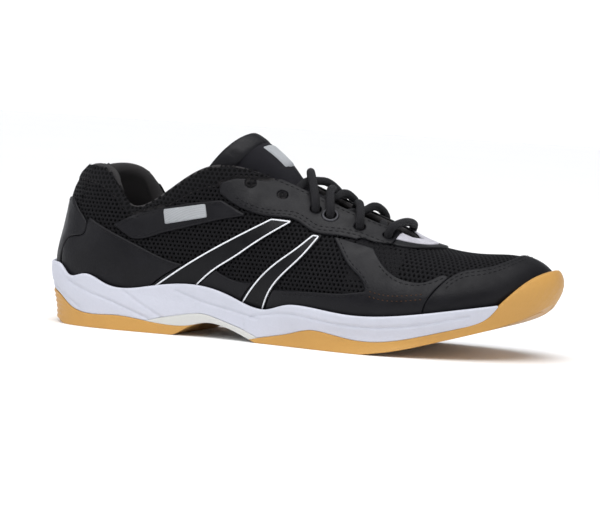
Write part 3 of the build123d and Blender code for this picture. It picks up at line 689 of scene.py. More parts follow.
class Nodes:
    """Builds one material: each method adds a node and returns its output."""

    def __init__(self, name):
        self.material = bpy.data.materials.new(name)
        self.material.use_nodes = True
        self.tree = self.material.node_tree
        self.shader = self.tree.nodes["Principled BSDF"]
        self.place = self.add("ShaderNodeTexCoord").outputs["Object"]

    def add(self, kind, **settings):
        node = self.tree.nodes.new(kind)
        for key, value in settings.items():
            setattr(node, key, value)
        return node

    def link(self, source, target):
        if isinstance(source, (int, float, tuple, list)):
            target.default_value = source
        else:
            self.tree.links.new(source, target)

    def noise(self, scale, detail=3.0, rough=0.55):
        node = self.add("ShaderNodeTexNoise")
        self.link(self.place, node.inputs["Vector"])
        node.inputs["Scale"].default_value = scale
        node.inputs["Detail"].default_value = detail
        node.inputs["Roughness"].default_value = rough
        return node.outputs["Fac"]

    def cells(self, scale, feature):
        node = self.add("ShaderNodeTexVoronoi", feature=feature)
        self.link(self.place, node.inputs["Vector"])
        node.inputs["Scale"].default_value = scale
        return node.outputs["Distance"]

    def waves(self, scale, distortion, direction):
        node = self.add("ShaderNodeTexWave", wave_type="BANDS", bands_direction=direction)
        self.link(self.place, node.inputs["Vector"])
        node.inputs["Scale"].default_value = scale
        node.inputs["Distortion"].default_value = distortion
        return node.outputs["Fac"]

    def math(self, operation, a, b):
        node = self.add("ShaderNodeMath", operation=operation)
        self.link(a, node.inputs[0])
        self.link(b, node.inputs[1])
        return node.outputs[0]

    def remap(self, value, low, high, to_low=0.0, to_high=1.0):
        node = self.add("ShaderNodeMapRange")
        self.link(value, node.inputs["Value"])
        for key, number in (("From Min", low), ("From Max", high), ("To Min", to_low), ("To Max", to_high)):
            node.inputs[key].default_value = number
        return node.outputs["Result"]

    def mix(self, factor, a, b):
        node = self.add("ShaderNodeMix", data_type="RGBA")
        self.link(factor, node.inputs["Factor"])
        for value, socket in ((a, node.inputs[6]), (b, node.inputs[7])):
            self.link((*value, 1.0) if isinstance(value, tuple) else value, socket)
        return node.outputs[2]

    def bump(self, height, distance):
        node = self.add("ShaderNodeBump")
        self.link(height, node.inputs["Height"])
        node.inputs["Distance"].default_value = distance
        node.inputs["Strength"].default_value = 1.0
        return node.outputs["Normal"]

    def finish(self, colour, rough, bump=None, **constants):
        constants.setdefault("Specular_IOR_Level", SPECULAR)
        self.link((*colour, 1.0) if isinstance(colour, tuple) else colour, self.shader.inputs["Base Color"])
        self.link(rough, self.shader.inputs["Roughness"])
        if bump is not None:
            self.link(bump, self.shader.inputs["Normal"])
        for key, value in constants.items():
            self.shader.inputs[key.replace("_", " ")].default_value = value
        return self.material


def tone(colour, k):
    return tuple(min(1.0, c * k) for c in colour)


def leather(name, colour, rough=0.5, grain=1100, depth=0.00012, **constants):
    m = Nodes(name)
    pores = m.cells(grain, "SMOOTH_F1")
    fold = m.noise(160, 4)
    wear = m.noise(38, 5, 0.7)
    height = m.math("ADD", m.math("MULTIPLY", pores, 0.7), m.math("MULTIPLY", fold, 0.6))
    shade = m.mix(m.remap(wear, 0.35, 0.7), tone(colour, 0.8), tone(colour, 1.3))
    shade = m.mix(m.remap(pores, 0.15, 0.55, 0.0, 0.35), shade, tone(colour, 0.6))
    roughness = m.remap(fold, 0.3, 0.7, rough - 0.08, rough + 0.12)
    return m.finish(shade, roughness, m.bump(height, depth), **constants)


def cloth(name, colour, weave=900, rough=0.85, depth=0.0002, sheen=0.3, contrast=0.45):
    m = Nodes(name)
    warp = m.waves(weave, 0.6, "X")
    weft = m.waves(weave, 0.6, "Z")
    fold = m.waves(weave, 0.6, "Y")
    knit = m.math("MULTIPLY", m.math("ADD", warp, fold), weft)
    fluff = m.noise(420, 3)
    shade = m.mix(m.remap(knit, 0.1, 1.2, 0.0, contrast), tone(colour, 0.65), tone(colour, 1.9))
    shade = m.mix(m.remap(m.noise(45, 4), 0.35, 0.7, 0.0, 0.4), shade, tone(colour, 1.25))
    height = m.math("ADD", knit, m.math("MULTIPLY", fluff, 0.7))
    return m.finish(shade, rough, m.bump(height, depth), Sheen_Weight=sheen)


def foam(name, colour, dirt, rough=0.55):
    m = Nodes(name)
    speckle = m.noise(900, 4)
    smudge = m.remap(m.noise(30, 6, 0.7), 0.5, 0.78, 0.0, 0.55)
    shade = m.mix(smudge, colour, dirt)
    shade = m.mix(m.remap(speckle, 0.4, 0.7, 0.0, 0.2), shade, tone(colour, 0.88))
    return m.finish(shade, m.remap(speckle, 0.3, 0.7, rough - 0.06, rough + 0.1),
                    m.bump(m.math("ADD", speckle, m.noise(220, 3)), 0.00012))


def plain(name, colour, rough, grain=500, depth=0.00005, **constants):
    m = Nodes(name)
    spots = m.noise(grain, 4)
    shade = m.mix(m.remap(spots, 0.35, 0.7), tone(colour, 0.85), tone(colour, 1.12))
    roughness = m.remap(spots, 0.3, 0.7, rough - 0.05, rough + 0.08)
    return m.finish(shade, roughness, m.bump(spots, depth), **constants)


MATERIALS = {
    "gum_rubber": foam("gum", (0.455, 0.25, 0.070), (0.38, 0.195, 0.06), 0.42),
    "cream_plastic": foam("cream plate", (0.50, 0.50, 0.48), (0.42, 0.41, 0.37), 0.4),
    "midsole_foam": foam("white foam", (0.475, 0.485, 0.545), (0.40, 0.41, 0.46), 0.5),
    "board": plain("board", (0.45, 0.42, 0.36), 0.9, 900, 0.0002),
    "liner_foam": plain("liner foam", (0.08, 0.08, 0.09), 0.8, 1200, 0.0002),
    "lining_cloth": cloth("lining", (0.024, 0.0215, 0.0225), 1000, 0.85, 0.0002, 0.1),
    "mesh": cloth("air mesh", (0.0075, 0.0072, 0.0090), 2300, 0.6, 0.00012, 0.0),
    "stiffener": plain("stiffener", (0.02, 0.02, 0.022), 0.8),
    "padding": cloth("padding", (0.012, 0.012, 0.014), 1300),
    "leather": leather("coated leather", (0.0048, 0.0046, 0.0062), 0.40),
    "toe_leather": leather("toe leather", (0.0040, 0.0038, 0.0052), 0.42, 1500, 0.0001,
                           Specular_IOR_Level=0.14),
    "stripe_leather": leather("stripe leather", (0.0030, 0.0030, 0.0040), 0.36, 1000, 0.0001),
    "silver_leather": leather("silver leather", (0.50, 0.49, 0.54), 0.34, 1300, 0.0001),
    "white_trim": plain("white piping", (0.70, 0.71, 0.74), 0.4, 700),
    "label": cloth("label", (0.50, 0.52, 0.55), 1600, 0.7, 0.00015, 0.1),
    "eyelet_metal": plain("dark metal", (0.045, 0.045, 0.05), 0.42, 900, 0.00002, Metallic=1.0),
    "tongue_cloth": cloth("tongue knit", (0.0105, 0.0100, 0.0150), 1300, 0.85, 0.0002, 0.04),
    "lace": cloth("lace braid", (0.0095, 0.0092, 0.0120), 2600, 0.65, 0.00012, 0.04),
    "aglet": plain("aglet", (0.03, 0.03, 0.034), 0.25, 600),
}
THREAD = cloth("thread", (0.010, 0.0098, 0.012), 3000, 0.5, 0.0001, 0.0)
# near-black backing under the mesh: the padding's own dark colour, darkened further as painted shade inside
# the mesh's holes
PAINTED_SHADE_UNDERLAY = cloth("underlay", (0.0012, 0.0012, 0.0016), 2000, 0.95, 0.0001, 0.0)


def dress(obj, slot, body="root", nodes=(), material=None):
    """Gives a piece its material and its body, and hides the solids that it stands for."""
    obj.data.materials.clear()
    obj.data.materials.append(material or MATERIALS[slot])
    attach(obj, body)
    if nodes:
        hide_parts(*nodes)
    return obj


def keep_node(name, slot):
    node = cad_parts[name]
    node.data.materials.clear()
    node.data.materials.append(MATERIALS[slot])


# ---------------------------------------------------------------- sole pieces
loop = np.linspace(0, 1, 961)[:-1]
foam_u = np.concatenate([loop[loop > 0.56], loop[loop < 0.44]])
dress(band("midsole_wall", foam_u, foam_foot, wall_top, rows=26, round_top=1.1, relief=foam_relief),
      "midsole_foam", nodes=["midsole"])
fore_u = loop[(loop > 0.2) & (loop < 0.8)]
dress(band("forefoot_gum_wall", fore_u, underside, gum_line, proud=0.3, rows=14, relief=gum_relief),
      "gum_rubber")
heel_u = np.concatenate([loop[loop > 0.82], loop[loop < 0.18]])
dress(band("heel_gum_wall", heel_u, underside, lambda x: highest(x, HEEL_GUM), proud=0.3, rows=40,
           relief=heel_relief), "gum_rubber")
for side, span in (("lateral", (0.10, 0.26)), ("medial", (0.74, 0.90))):
    shank_u = loop[(loop > span[0]) & (loop < span[1])]
    dress(band(f"arch_plate_{side}", shank_u, shank_foot, lambda x: highest(x, SHANK), proud=0.25, rows=10),
          "cream_plastic")
for name, slot in (("outsole_heel", "gum_rubber"), ("outsole_forefoot", "gum_rubber"),
                   ("arch_shank", "cream_plastic"), ("strobel_board", "board"), ("lace_aglets", "aglet"),
                   ("heel_counter", "stiffener"), ("toe_puff", "stiffener")):
    keep_node(name, slot)

# ---------------------------------------------------------------- panels
PANEL_SLOTS = {"heel_overlay": "leather", "stripe_rear": "stripe_leather", "stripe_front": "stripe_leather",
               "waist_overlay": "leather", "forefoot_overlay": "leather", "quarter_band": "leather",
               "eyestay": "leather", "side_label": "label", "toe_cap": "toe_leather", "backstay": "leather",
               "throat_piece": "silver_leather", "throat_nose": "leather"}
PANEL_BASE = {"side_label": 1.15, "eyestay": 0.25, "throat_piece": 0.45}
for name, (field, u_range, v_range) in PANELS.items():
    kind = name.replace("_lateral", "").replace("_medial", "")
    thick = 0.7 if kind == "side_label" else 1.05
    piece = patch(f"{name}_skin", field, u_range, v_range, PANEL_BASE.get(kind, 0.1), thick)
    dress(piece, PANEL_SLOTS[kind], nodes=["throat_piece" if kind == "throat_nose" else name])

# ---------------------------------------------------------------- air mesh
UNDER_LIFT = -0.95


def covered(side, u, v, points, margin):
    """True where the overlays hide the mesh."""
    hidden = np.zeros(len(u), bool)
    for name, (field, (start, end), _) in PANELS.items():
        if name.startswith("side_label"):
            continue
        for turn in (0, -1):
            near = (u + turn > start) & (u + turn < end)
            if name.endswith(("_lateral", "_medial")) and not name.endswith(side):
                continue
            if near.any():
                deep = np.zeros(len(u), bool)
                deep[near] = field(u[near], v[near], points[near]) > margin[near]
                hidden |= deep
    return hidden


def under_overlay(u, v, points, margin):
    """True where the overlays of the side that u is on hide the mesh."""
    return np.where(u < 0.5, covered("lateral", u, v, points, margin),
                    covered("medial", u, v, points, margin))


ROLL_AT = 0.955                     # height fraction where the padded rim starts to roll over
COLLAR_FOOT = 0.82                  # height fraction where the pad starts to stand out
RIM_END = 0.262                     # loop distance from the heel to the end of the rim
PAD_SINK = 0.3                      # how deep the pad starts below the plain surface
COLLAR_STAND = 0.55
COLLAR_BULGE = 0.75
COLLAR_IN = 0.55                    # height fraction where the inner cloth of the collar ends
HEEL_VIEW = 0.05                    # half of the loop range whose mesh is laid out round the heel
PITCH = 2.6                         # between the mesh's holes
RIM_RADIUS = 0.352 * PITCH
FLOOR_RADIUS = 0.308 * PITCH
NET_TOP = 0.965                     # highest hole in front of the collar
NET_LIMIT = 0.975
TUCKED = 3.0                        # how far the mesh runs on under an overlay or the sole


def pad_swell(t, stand, bulge):
    """Outward swell of a pad, from its foot at t = 0 to the roll at t = 1."""
    return (stand + PAD_SINK) * np.sin(np.minimum(1, 2.2 * t) * math.pi / 2) + bulge * np.sin(t * math.pi / 2)


def from_heel(u):
    return np.minimum(np.asarray(u) % 1, 1 - np.asarray(u) % 1)


def collar_rise(u, v):
    """How far the mesh over the padded collar stands out from the plain outer surface."""
    t = np.clip((v - COLLAR_FOOT) / (ROLL_AT - COLLAR_FOOT), 0, 1)
    swell = pad_swell(t, COLLAR_STAND, COLLAR_BULGE)
    return np.where((from_heel(u) < RIM_END) & (t > 0), swell + 0.1 * np.minimum(1, 20 * t), 0)


def lattice(name, view, x_range, rise_range, node):
    """Open mesh: a staggered net of hexagonal cells, each with a sunk round hole."""
    turns = np.radians(30 + 60 * np.arange(6))
    corner = np.stack([np.cos(turns), np.sin(turns)], axis=1)
    row_step = PITCH * math.cos(math.radians(30))
    centres = []
    for row in range(int((rise_range[1] - rise_range[0]) / row_step)):
        for column in range(int((x_range[1] - x_range[0]) / PITCH)):
            centres.append((x_range[0] + (column + 0.5 * (row % 2)) * PITCH, rise_range[0] + row * row_step))
    centres = np.array(centres)
    u, v = place(view, centres)
    here = skin(u, v, 0 * u)
    reached = np.hypot(*(VIEWS[view][0](here) - centres).T) < 0.4
    top = np.where(from_heel(u) < RIM_END, ROLL_AT + 0.01, NET_TOP)
    keep = reached & (v < top) & (wall_hides(here) < TUCKED)
    keep &= (from_heel(u) < HEEL_VIEW) == (view == "heel")
    u = u % 1
    margin = np.where(collar_rise(u, v) > 0.3, -0.6, TUCKED)
    keep &= ~under_overlay(u, v, here, margin)
    centres = centres[keep]
    size = PITCH / math.sqrt(3)
    outer, rings, index = [], [], {}
    for centre in centres:
        ring = []
        for x, y in centre + size * corner:
            key = (round(x * 50), round(y * 50))
            if key not in index:
                index[key] = len(outer)
                outer.append((x, y))
            ring.append(index[key])
        rings.append(ring)
    rim, floor = ((centres[:, None] + radius * corner).reshape(-1, 2)
                  for radius in (RIM_RADIUS, FLOOR_RADIUS))
    n, m = len(outer), len(rim)
    faces = []
    for k, ring in enumerate(rings):
        for j in range(6):
            l = (j + 1) % 6
            faces.append((ring[j], ring[l], n + 6 * k + l, n + 6 * k + j))
            faces.append((n + 6 * k + j, n + 6 * k + l, n + m + 6 * k + l, n + m + 6 * k + j))
    u, v = place(view, np.concatenate([outer, rim, floor]))
    lift = np.concatenate([np.full(n, 0.08), np.full(m, -0.12), np.full(m, UNDER_LIFT)])
    points = skin(u, np.minimum(v, NET_LIMIT), lift + collar_rise(u, v))
    return dress(make_object(name, points, faces), "mesh", nodes=[node])


def wall_hides(points):
    """How far points lie below the sole's top edge."""
    return wall_top(np.clip(points[:, 0], -153, 153)) - points[:, 2]


lattice("net_quarter_lateral", "lateral", (-150, 70), (18, 104), "quarter_mesh_lateral")
lattice("net_quarter_medial", "medial", (-150, 70), (18, 104), "quarter_mesh_medial")
lattice("net_heel", "heel", (-60, 60), (50, 104), "collar_foam")
lattice("net_vamp", "vamp", (40, 150), (-75, 75), "vamp_mesh")


def sheet_of(name, u, v, lift, closed=True):
    uu, vv = np.meshgrid(u, v, indexing="ij")
    points = skin(uu, vv, lift(uu, vv))
    return make_object(name, points.reshape(-1, 3), grid_faces(len(u), len(v), wrap_rows=closed))


around = np.linspace(0, 1, 361)[:-1]
up = np.linspace(0.0, 0.95, 50)
# the padding and eyestay backing under the mesh, drawn in the near-black underlay that paints the shade in
# the mesh's holes
dress(sheet_of("underlay", around, up, lambda u, v: np.full(u.shape, UNDER_LIFT)), "padding",
      nodes=["waist_padding_lateral", "waist_padding_medial", "eyestay_backing_lateral",
             "eyestay_backing_medial"], material=PAINTED_SHADE_UNDERLAY)

# ---------------------------------------------------------------- collar and linings
THROAT_ROLL_AT = 0.975


def inner_depth(u, v):
    """Lift of the shoe's inner face: thin lining, and full foam round the collar."""
    along = np.sin(np.clip((COLLAR_END + 0.012 - from_heel(u)) / 0.06, 0, 1) * math.pi / 2)
    up_t = np.sin(np.clip((v - COLLAR_START) / 0.2, 0, 1) * math.pi / 2)
    return -3.35 - (COLLAR_PAD + 0.1) * along * up_t


def rolled_rim(name, u, roll_at, v_outer, out_lift, v_inner, bulge=0.0, steps=11):
    """Fabric that comes up outside, rolls over the edge and goes down inside."""
    rise_unit = look_up(UP_V, u, roll_at)
    rise_unit /= np.linalg.norm(rise_unit, axis=-1, keepdims=True)
    out_unit = normal(u, np.full(len(u), roll_at))
    edge = skin(u, np.full(len(u), roll_at), np.zeros(len(u)))
    inner_lift = inner_depth(u, np.full(len(u), roll_at))
    rows = []
    for v in np.linspace(v_outer, roll_at, 7)[:-1]:
        t = (v - v_outer) / (roll_at - v_outer)
        lift = pad_swell(t, out_lift, bulge) - PAD_SINK
        rows.append(skin(u, np.full(len(u), v), np.full(len(u), lift)))
    top = out_lift + bulge
    for angle in np.linspace(0, math.pi, steps):
        centre, radius = (top + inner_lift) / 2, (top - inner_lift) / 2
        rows.append(edge + out_unit * (centre + radius * math.cos(angle))[:, None]
                    + rise_unit * (radius * math.sin(angle))[:, None])
    for v in np.linspace(roll_at, v_inner, 24)[1:]:
        here = np.full(len(u), v)
        rows.append(skin(u, here, inner_depth(u, here)))
    points = np.stack(rows, axis=1)
    return make_object(name, points.reshape(-1, 3), grid_faces(len(u), points.shape[1]))


collar_u = np.linspace(-RIM_END, RIM_END, 301)
collar = rolled_rim("collar_pad", collar_u, ROLL_AT, COLLAR_FOOT, 0.0, COLLAR_IN, bulge=COLLAR_BULGE)
dress(collar, "lining_cloth", nodes=["collar_foam", "collar_lining"])


def collar_shade_layer(u, v):
    """Lift of the near-black sheet under the collar's mesh, which paints the shade in the mesh's holes over
    the lighter collar pad; sunk where an overlay lies on the collar.
    """
    at_u, at_v = u.ravel() % 1, v.ravel()
    here = skin(at_u, at_v, 0 * at_u)
    margin = np.full(at_u.shape, -1.5)
    hidden = under_overlay(at_u, at_v, here, margin)
    return np.where(hidden.reshape(u.shape), UNDER_LIFT, collar_rise(u, v) - 0.2)


# painted shade: a near-black sheet just under the collar's mesh, hiding the lighter collar pad in the mesh's
# holes
dress(sheet_of("collar_shade_underlay", np.linspace(-RIM_END + 0.004, RIM_END - 0.004, 301),
               np.linspace(COLLAR_FOOT + 0.01, ROLL_AT, 16), collar_shade_layer, closed=False),
      "mesh", nodes=["collar_foam"], material=PAINTED_SHADE_UNDERLAY)
throat_u = np.linspace(RIM_END - 0.004, 1 - RIM_END + 0.004, 301)
dress(rolled_rim("throat_lining", throat_u, THROAT_ROLL_AT, 0.93, -0.1, 0.0, steps=9), "lining_cloth",
      nodes=["vamp_lining"])
heel_u = np.linspace(-COLLAR_END - 0.01, COLLAR_END + 0.01, 161)
dress(sheet_of("heel_lining_cloth", heel_u, np.linspace(0.6, 0.0, 24),
               lambda u, v: np.full(u.shape, -3.4), closed=False), "lining_cloth", nodes=["heel_lining"])

# ---------------------------------------------------------------- insole
INSOLE_COUNT = 240                  # columns round the insole
PLAN = skin(np.linspace(0, 1, 241)[:-1], np.zeros(INSOLE_COUNT), np.full(INSOLE_COUNT, -5.4))
FEATHER_X = [s[0][0] for s in STATIONS]
FEATHER_Z = [s[0][2] for s in STATIONS]
SPINE_X = np.clip(PLAN[:, 0], -108, 88)


def spine_y(x):
    mids = [(LOOP[i, 0, 1] + LOOP[(22 - i) % 22, 0, 1]) / 2 for i in range(12)]
    return np.interp(x, FEATHER_X, mids)


insole_rows = []
for t, low in ([(t, 0) for t in np.linspace(0.03, 1, 26)] + [(1.0, 0.5), (0.99, 1)]
               + [(t, 1) for t in (0.8, 0.5, 0.2, 0.03)]):
    x = SPINE_X + (PLAN[:, 0] - SPINE_X) * t
    y = spine_y(SPINE_X) + (PLAN[:, 1] - spine_y(SPINE_X)) * t
    cup = 2.4 * max(0.0, (t - 0.72) / 0.28) ** 2 if not low else 0.0
    z = np.interp(x, FEATHER_X, FEATHER_Z) + 0.35
    top = 4.5 + cup + 0.5 * math.cos(t * math.pi / 2)
    insole_rows.append(np.stack([x, y, z + top * (1 - low)], axis=1))
insole_points = np.stack(insole_rows, axis=1)
insole_depth = insole_points.shape[1]
insole = make_object("insole_pad", insole_points.reshape(-1, 3),
                     [f[::-1] for f in grid_faces(INSOLE_COUNT, insole_depth, wrap_rows=True)]
                     + [tuple(i * insole_depth for i in range(INSOLE_COUNT)),
                        tuple((i + 1) * insole_depth - 1 for i in reversed(range(INSOLE_COUNT)))])
dress(insole, "lining_cloth", body="insole", nodes=["sockliner", "sockliner_cover"])

# ---------------------------------------------------------------- tongue
# x and z of the middle line, radius across, and half angle in degrees, from the toe to the free end
TONGUE = [(72, 47.5, 45, 22), (53, 54, 30, 36), (23, 68.5, 20, 65), (3, 80, 17, 76),
          (-9, 92, 15.5, 80), (-21, 102.5, 16.5, 84), (-36, 111.5, 19.5, 86)]
TONGUE_EARS = 0.07
TONGUE_DROP = 9.0
LACE_SWELL = 2.8                    # how far the padding rises between the crossings of the lace
TONGUE_THICK = (3.5, 6.5)
TONGUE_END = 0.985                  # where the free end starts to round off
SIDE_ROUNDING, FACE_ROUNDING = 0.75, 0.55
TONGUE_POINTS = np.array(TONGUE, dtype=float)
TONGUE_AT = np.concatenate([[0], np.cumsum(np.linalg.norm(np.diff(TONGUE_POINTS[:, :2], axis=0), axis=1))])
TONGUE_AT /= TONGUE_AT[-1]


def tongue_middle(s):
    return spline(TONGUE_AT, TONGUE_POINTS, s.ravel()).reshape(s.shape + (4,))


def tongue_skin(s, across, lift):
    """Points on the tongue: s along it, across from -1 to 1, lift in mm above its face."""
    s, across, lift = np.broadcast_arrays(s, across, lift)
    s = s * (1 + TONGUE_EARS * across ** 2)
    x, z, radius, half = np.moveaxis(tongue_middle(s), -1, 0)
    slope = tongue_middle(s + E) - tongue_middle(s - E)
    length = np.hypot(slope[..., 0], slope[..., 1])
    up_x, up_z = slope[..., 1] / length, -slope[..., 0] / length
    angle = np.radians(half) * across
    rise = (radius + lift) * np.cos(angle) - radius
    drop = TONGUE_DROP * np.abs(across) ** 4 * np.clip((s - 0.45) / 0.4, 0, 1) ** 2
    return np.stack([x + rise * up_x, (radius + lift) * np.sin(angle), z + rise * up_z - drop], axis=-1)


def power(value, exponent):
    return np.sign(value) * np.abs(value) ** exponent


def tongue_section(s, count=44, shrink=1.0):
    """One closed loop round the tongue, with rounded sides."""
    t = np.linspace(0, 2 * math.pi, count, endpoint=False)
    thick = TONGUE_THICK[0] + (TONGUE_THICK[1] - TONGUE_THICK[0]) * s ** 2
    across = power(np.cos(t), SIDE_ROUNDING) * (0.995 - 0.05 * (1 - shrink))
    lift = -thick / 2 + thick / 2 * power(np.sin(t), FACE_ROUNDING) * shrink
    lift += LACE_SWELL * np.clip(min((s - 0.04) / 0.16, (0.66 - s) / 0.1), 0, 1) * (1 - across ** 2)
    return tongue_skin(np.full(count, s), across, lift)


loops = [tongue_section(s) for s in np.linspace(0.0, TONGUE_END, 92)]
loops += [tongue_section(TONGUE_END + 0.012 * k, shrink=f) for k, f in ((0.35, 0.9), (0.7, 0.68), (1.0, 0.3))]
tongue_points = np.stack(loops)
count = tongue_points.shape[1]
tongue = make_object("tongue_pad", tongue_points.reshape(-1, 3),
                     grid_faces(len(loops), count, wrap_columns=True)
                     + [tuple(reversed(range(count))),
                        tuple(range((len(loops) - 1) * count, len(loops) * count))])


def puff(obj, pressure, cap, frames=14):
    """Swells a pad with a short cloth run, then holds every point to a small move."""
    before = np.array([v.co for v in obj.data.vertices])
    cloth_run = obj.modifiers.new("cloth", "CLOTH")
    cloth_run.settings.use_pressure = True
    cloth_run.settings.uniform_pressure_force = pressure
    cloth_run.settings.effector_weights.gravity = 0
    cloth_run.settings.quality = 5
    cloth_run.point_cache.frame_end = frames
    for number in range(1, frames + 1):
        bpy.context.scene.frame_set(number)
    swollen = obj.evaluated_get(bpy.context.evaluated_depsgraph_get())
    after = np.array([v.co for v in swollen.data.vertices])
    obj.modifiers.remove(cloth_run)
    bpy.context.scene.frame_set(1)
    move = after - before
    size = np.linalg.norm(move, axis=1, keepdims=True)
    move *= np.minimum(1, cap / np.maximum(size, 1e-9))
    obj.data.vertices.foreach_set("co", (before + move).ravel())
    obj.data.update()


def smooth_round(obj, levels=1):
    rounder = obj.modifiers.new("round", "SUBSURF")
    rounder.levels = rounder.render_levels = levels


puff(tongue, 2.0, 0.0006)
dress(tongue, "tongue_cloth", nodes=["tongue_lower", "tongue_upper"])
tongue.parent = None
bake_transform(tongue)

# binding: a folded strip over the free end, gathered by its stitches
BINDING_ROUTE = [                   # place along the tongue, lift
    (0.915, 0.05), (0.920, 0.75), (0.94, 0.95), (0.965, 1.0), (0.985, 0.9), (1.0, 0.2), (1.008, -1.6),
    (1.008, -4.2), (1.0, -6.0), (0.985, -6.9), (0.965, -7.2), (0.94, -7.2), (0.92, -6.9)]
BINDING_COUNT = 121
edge_across = np.linspace(-1, 1, BINDING_COUNT)
gather = 0.05 * np.sin(edge_across * 45)
binding_points = np.stack([
    tongue_skin(np.full(BINDING_COUNT, s), edge_across, lift + gather * (1 if lift > 0 else -1))
    for s, lift in BINDING_ROUTE], axis=1)
binding = make_object("tongue_edge_binding", binding_points.reshape(-1, 3),
                      grid_faces(BINDING_COUNT, len(BINDING_ROUTE)))
dress(binding, "leather", body="tongue_top", nodes=["tongue_binding"])
smooth_round(binding)

LABEL_FROM, LABEL_TO, LABEL_HALF = 0.76, 0.905, 0.34
LABEL_ROWS, LABEL_COLUMNS = 16, 23
label_across = np.linspace(-LABEL_HALF, LABEL_HALF, LABEL_COLUMNS)
label_points = []
for s in np.linspace(LABEL_FROM, LABEL_TO, LABEL_ROWS):
    inset = np.minimum(min(s - LABEL_FROM, LABEL_TO - s) / 0.012, (LABEL_HALF - np.abs(label_across)) / 0.04)
    ridge = 0.12 * (np.abs(np.clip(inset, 0, 3) - 2) < 0.5)
    lift = -0.1 + 0.85 * (1 - arc_gap(np.clip(inset, 0, 1))) + ridge
    label_points.append(tongue_skin(np.full(LABEL_COLUMNS, s), label_across, lift))
label = make_object("tongue_patch", np.stack(label_points).reshape(-1, 3),
                    [f[::-1] for f in grid_faces(LABEL_ROWS, LABEL_COLUMNS)])
dress(label, "label", body="tongue_top", nodes=["tongue_label"])
smooth_round(label)

# ---------------------------------------------------------------- lace
LACE_R = 2.3
LACE_STEP = 2.5                     # how far a strand rises or dips at a crossing
LACE_SIDES = 24
LACE_SAMPLE = 0.55
BRAID_PITCH = 7.0
LACE_HALF = [
    (56.5, -13, 67, 0), (55, -23.2, 65, 0), (51.4, -16.6, 53.2, 0), (46, -7, 63.5, 1), (42, 6, 63.5, 1),
    (35.8, 17.9, 58.2, 0), (38.9, 25.2, 68.2, 0), (34.5, 14, 76, 0), (30.5, 4.5, 74, -1),
    (26, -6, 73.5, -1), (22, -13, 69.5, 0), (18.6, -18.2, 63.2, 0), (21.7, -26, 72.6, 0),
    (16.5, -14.5, 82, 0), (14, -4.5, 81, 1), (11.5, 6.5, 80.5, 1), (10.6, 13.4, 74, 0),
    (9.9, 18.1, 66.3, 0), (13.1, 26.1, 75.7, 0), (6.5, 14.5, 86.5, 0), (1.5, 5, 89.5, -1),
    (-2.5, -5.5, 89, -1), (-3.5, -14.5, 79, 0), (-4, -20, 69, 0), (-8, -24, 62, 0), (-18, -26, 57.5, 0),
]


def lace_half(side):
    return [(x, side * y, z + side * over * LACE_STEP) for x, y, z, over in LACE_HALF]


def rounded(points, per=9):
    """A smooth line that bends inside its corner points."""
    points = np.array(points, float)
    middles = (points[1:] + points[:-1]) / 2
    line = [points[:1]]
    t = np.linspace(0, 1, per, endpoint=False)[:, None]
    for start, corner, end in zip(middles, points[1:-1], middles[1:]):
        line.append((1 - t) ** 2 * start + 2 * t * (1 - t) * corner + t ** 2 * end)
    line.append(points[-1:])
    return np.concatenate(line)


route = lace_half(-1)[::-1] + [(57, 0, 68)] + lace_half(1)
lace_line = even(rounded(route), LACE_SAMPLE)
turns = np.arange(len(lace_line))[:, None] * LACE_SAMPLE
angles = np.arange(LACE_SIDES)[None] * 2 * math.pi / LACE_SIDES
strand_a = np.cos(4 * angles + turns * 2 * math.pi / BRAID_PITCH)
strand_b = np.cos(4 * angles - turns * 2 * math.pi / BRAID_PITCH)
braid = np.maximum(np.abs(strand_a), np.abs(strand_b))
lace = tube("lace_braid", lace_line, LACE_R * (0.93 + 0.09 * braid), sides=LACE_SIDES)
dress(lace, "lace", nodes=["lace"])

# ---------------------------------------------------------------- eyelet rings
RING_SIDES = 40
RING_PROFILE = [                    # distance beyond the hole's radius, height
    (0.1, -1.6), (0.1, 0.3), (0.35, 0.75), (1.0, 0.95), (1.7, 0.8), (2.1, 0.35), (2.15, -0.1), (1.2, -0.2)]
for side in ("lateral", "medial"):
    u = side_at(side, EYELETS[3])
    hole = skin(u, EYELET_HEIGHT, 1.15)
    out = normal(u, EYELET_HEIGHT)
    first = np.cross(out, [0, 0, 1.0])
    first /= np.linalg.norm(first)
    second = np.cross(out, first)
    spokes = [first * math.cos(t) + second * math.sin(t)
              for t in np.linspace(0, 2 * math.pi, RING_SIDES, endpoint=False)]
    points = [[hole + spoke * (EYELET_R + beyond) + out * rise for beyond, rise in RING_PROFILE]
              for spoke in spokes]
    ring = make_object(f"eyelet_ring_{side}", np.array(points).reshape(-1, 3),
                       grid_faces(RING_SIDES, len(RING_PROFILE), wrap_rows=True, wrap_columns=True))
    dress(ring, "eyelet_metal", nodes=["eyelet_rings"])
    smooth_round(ring)

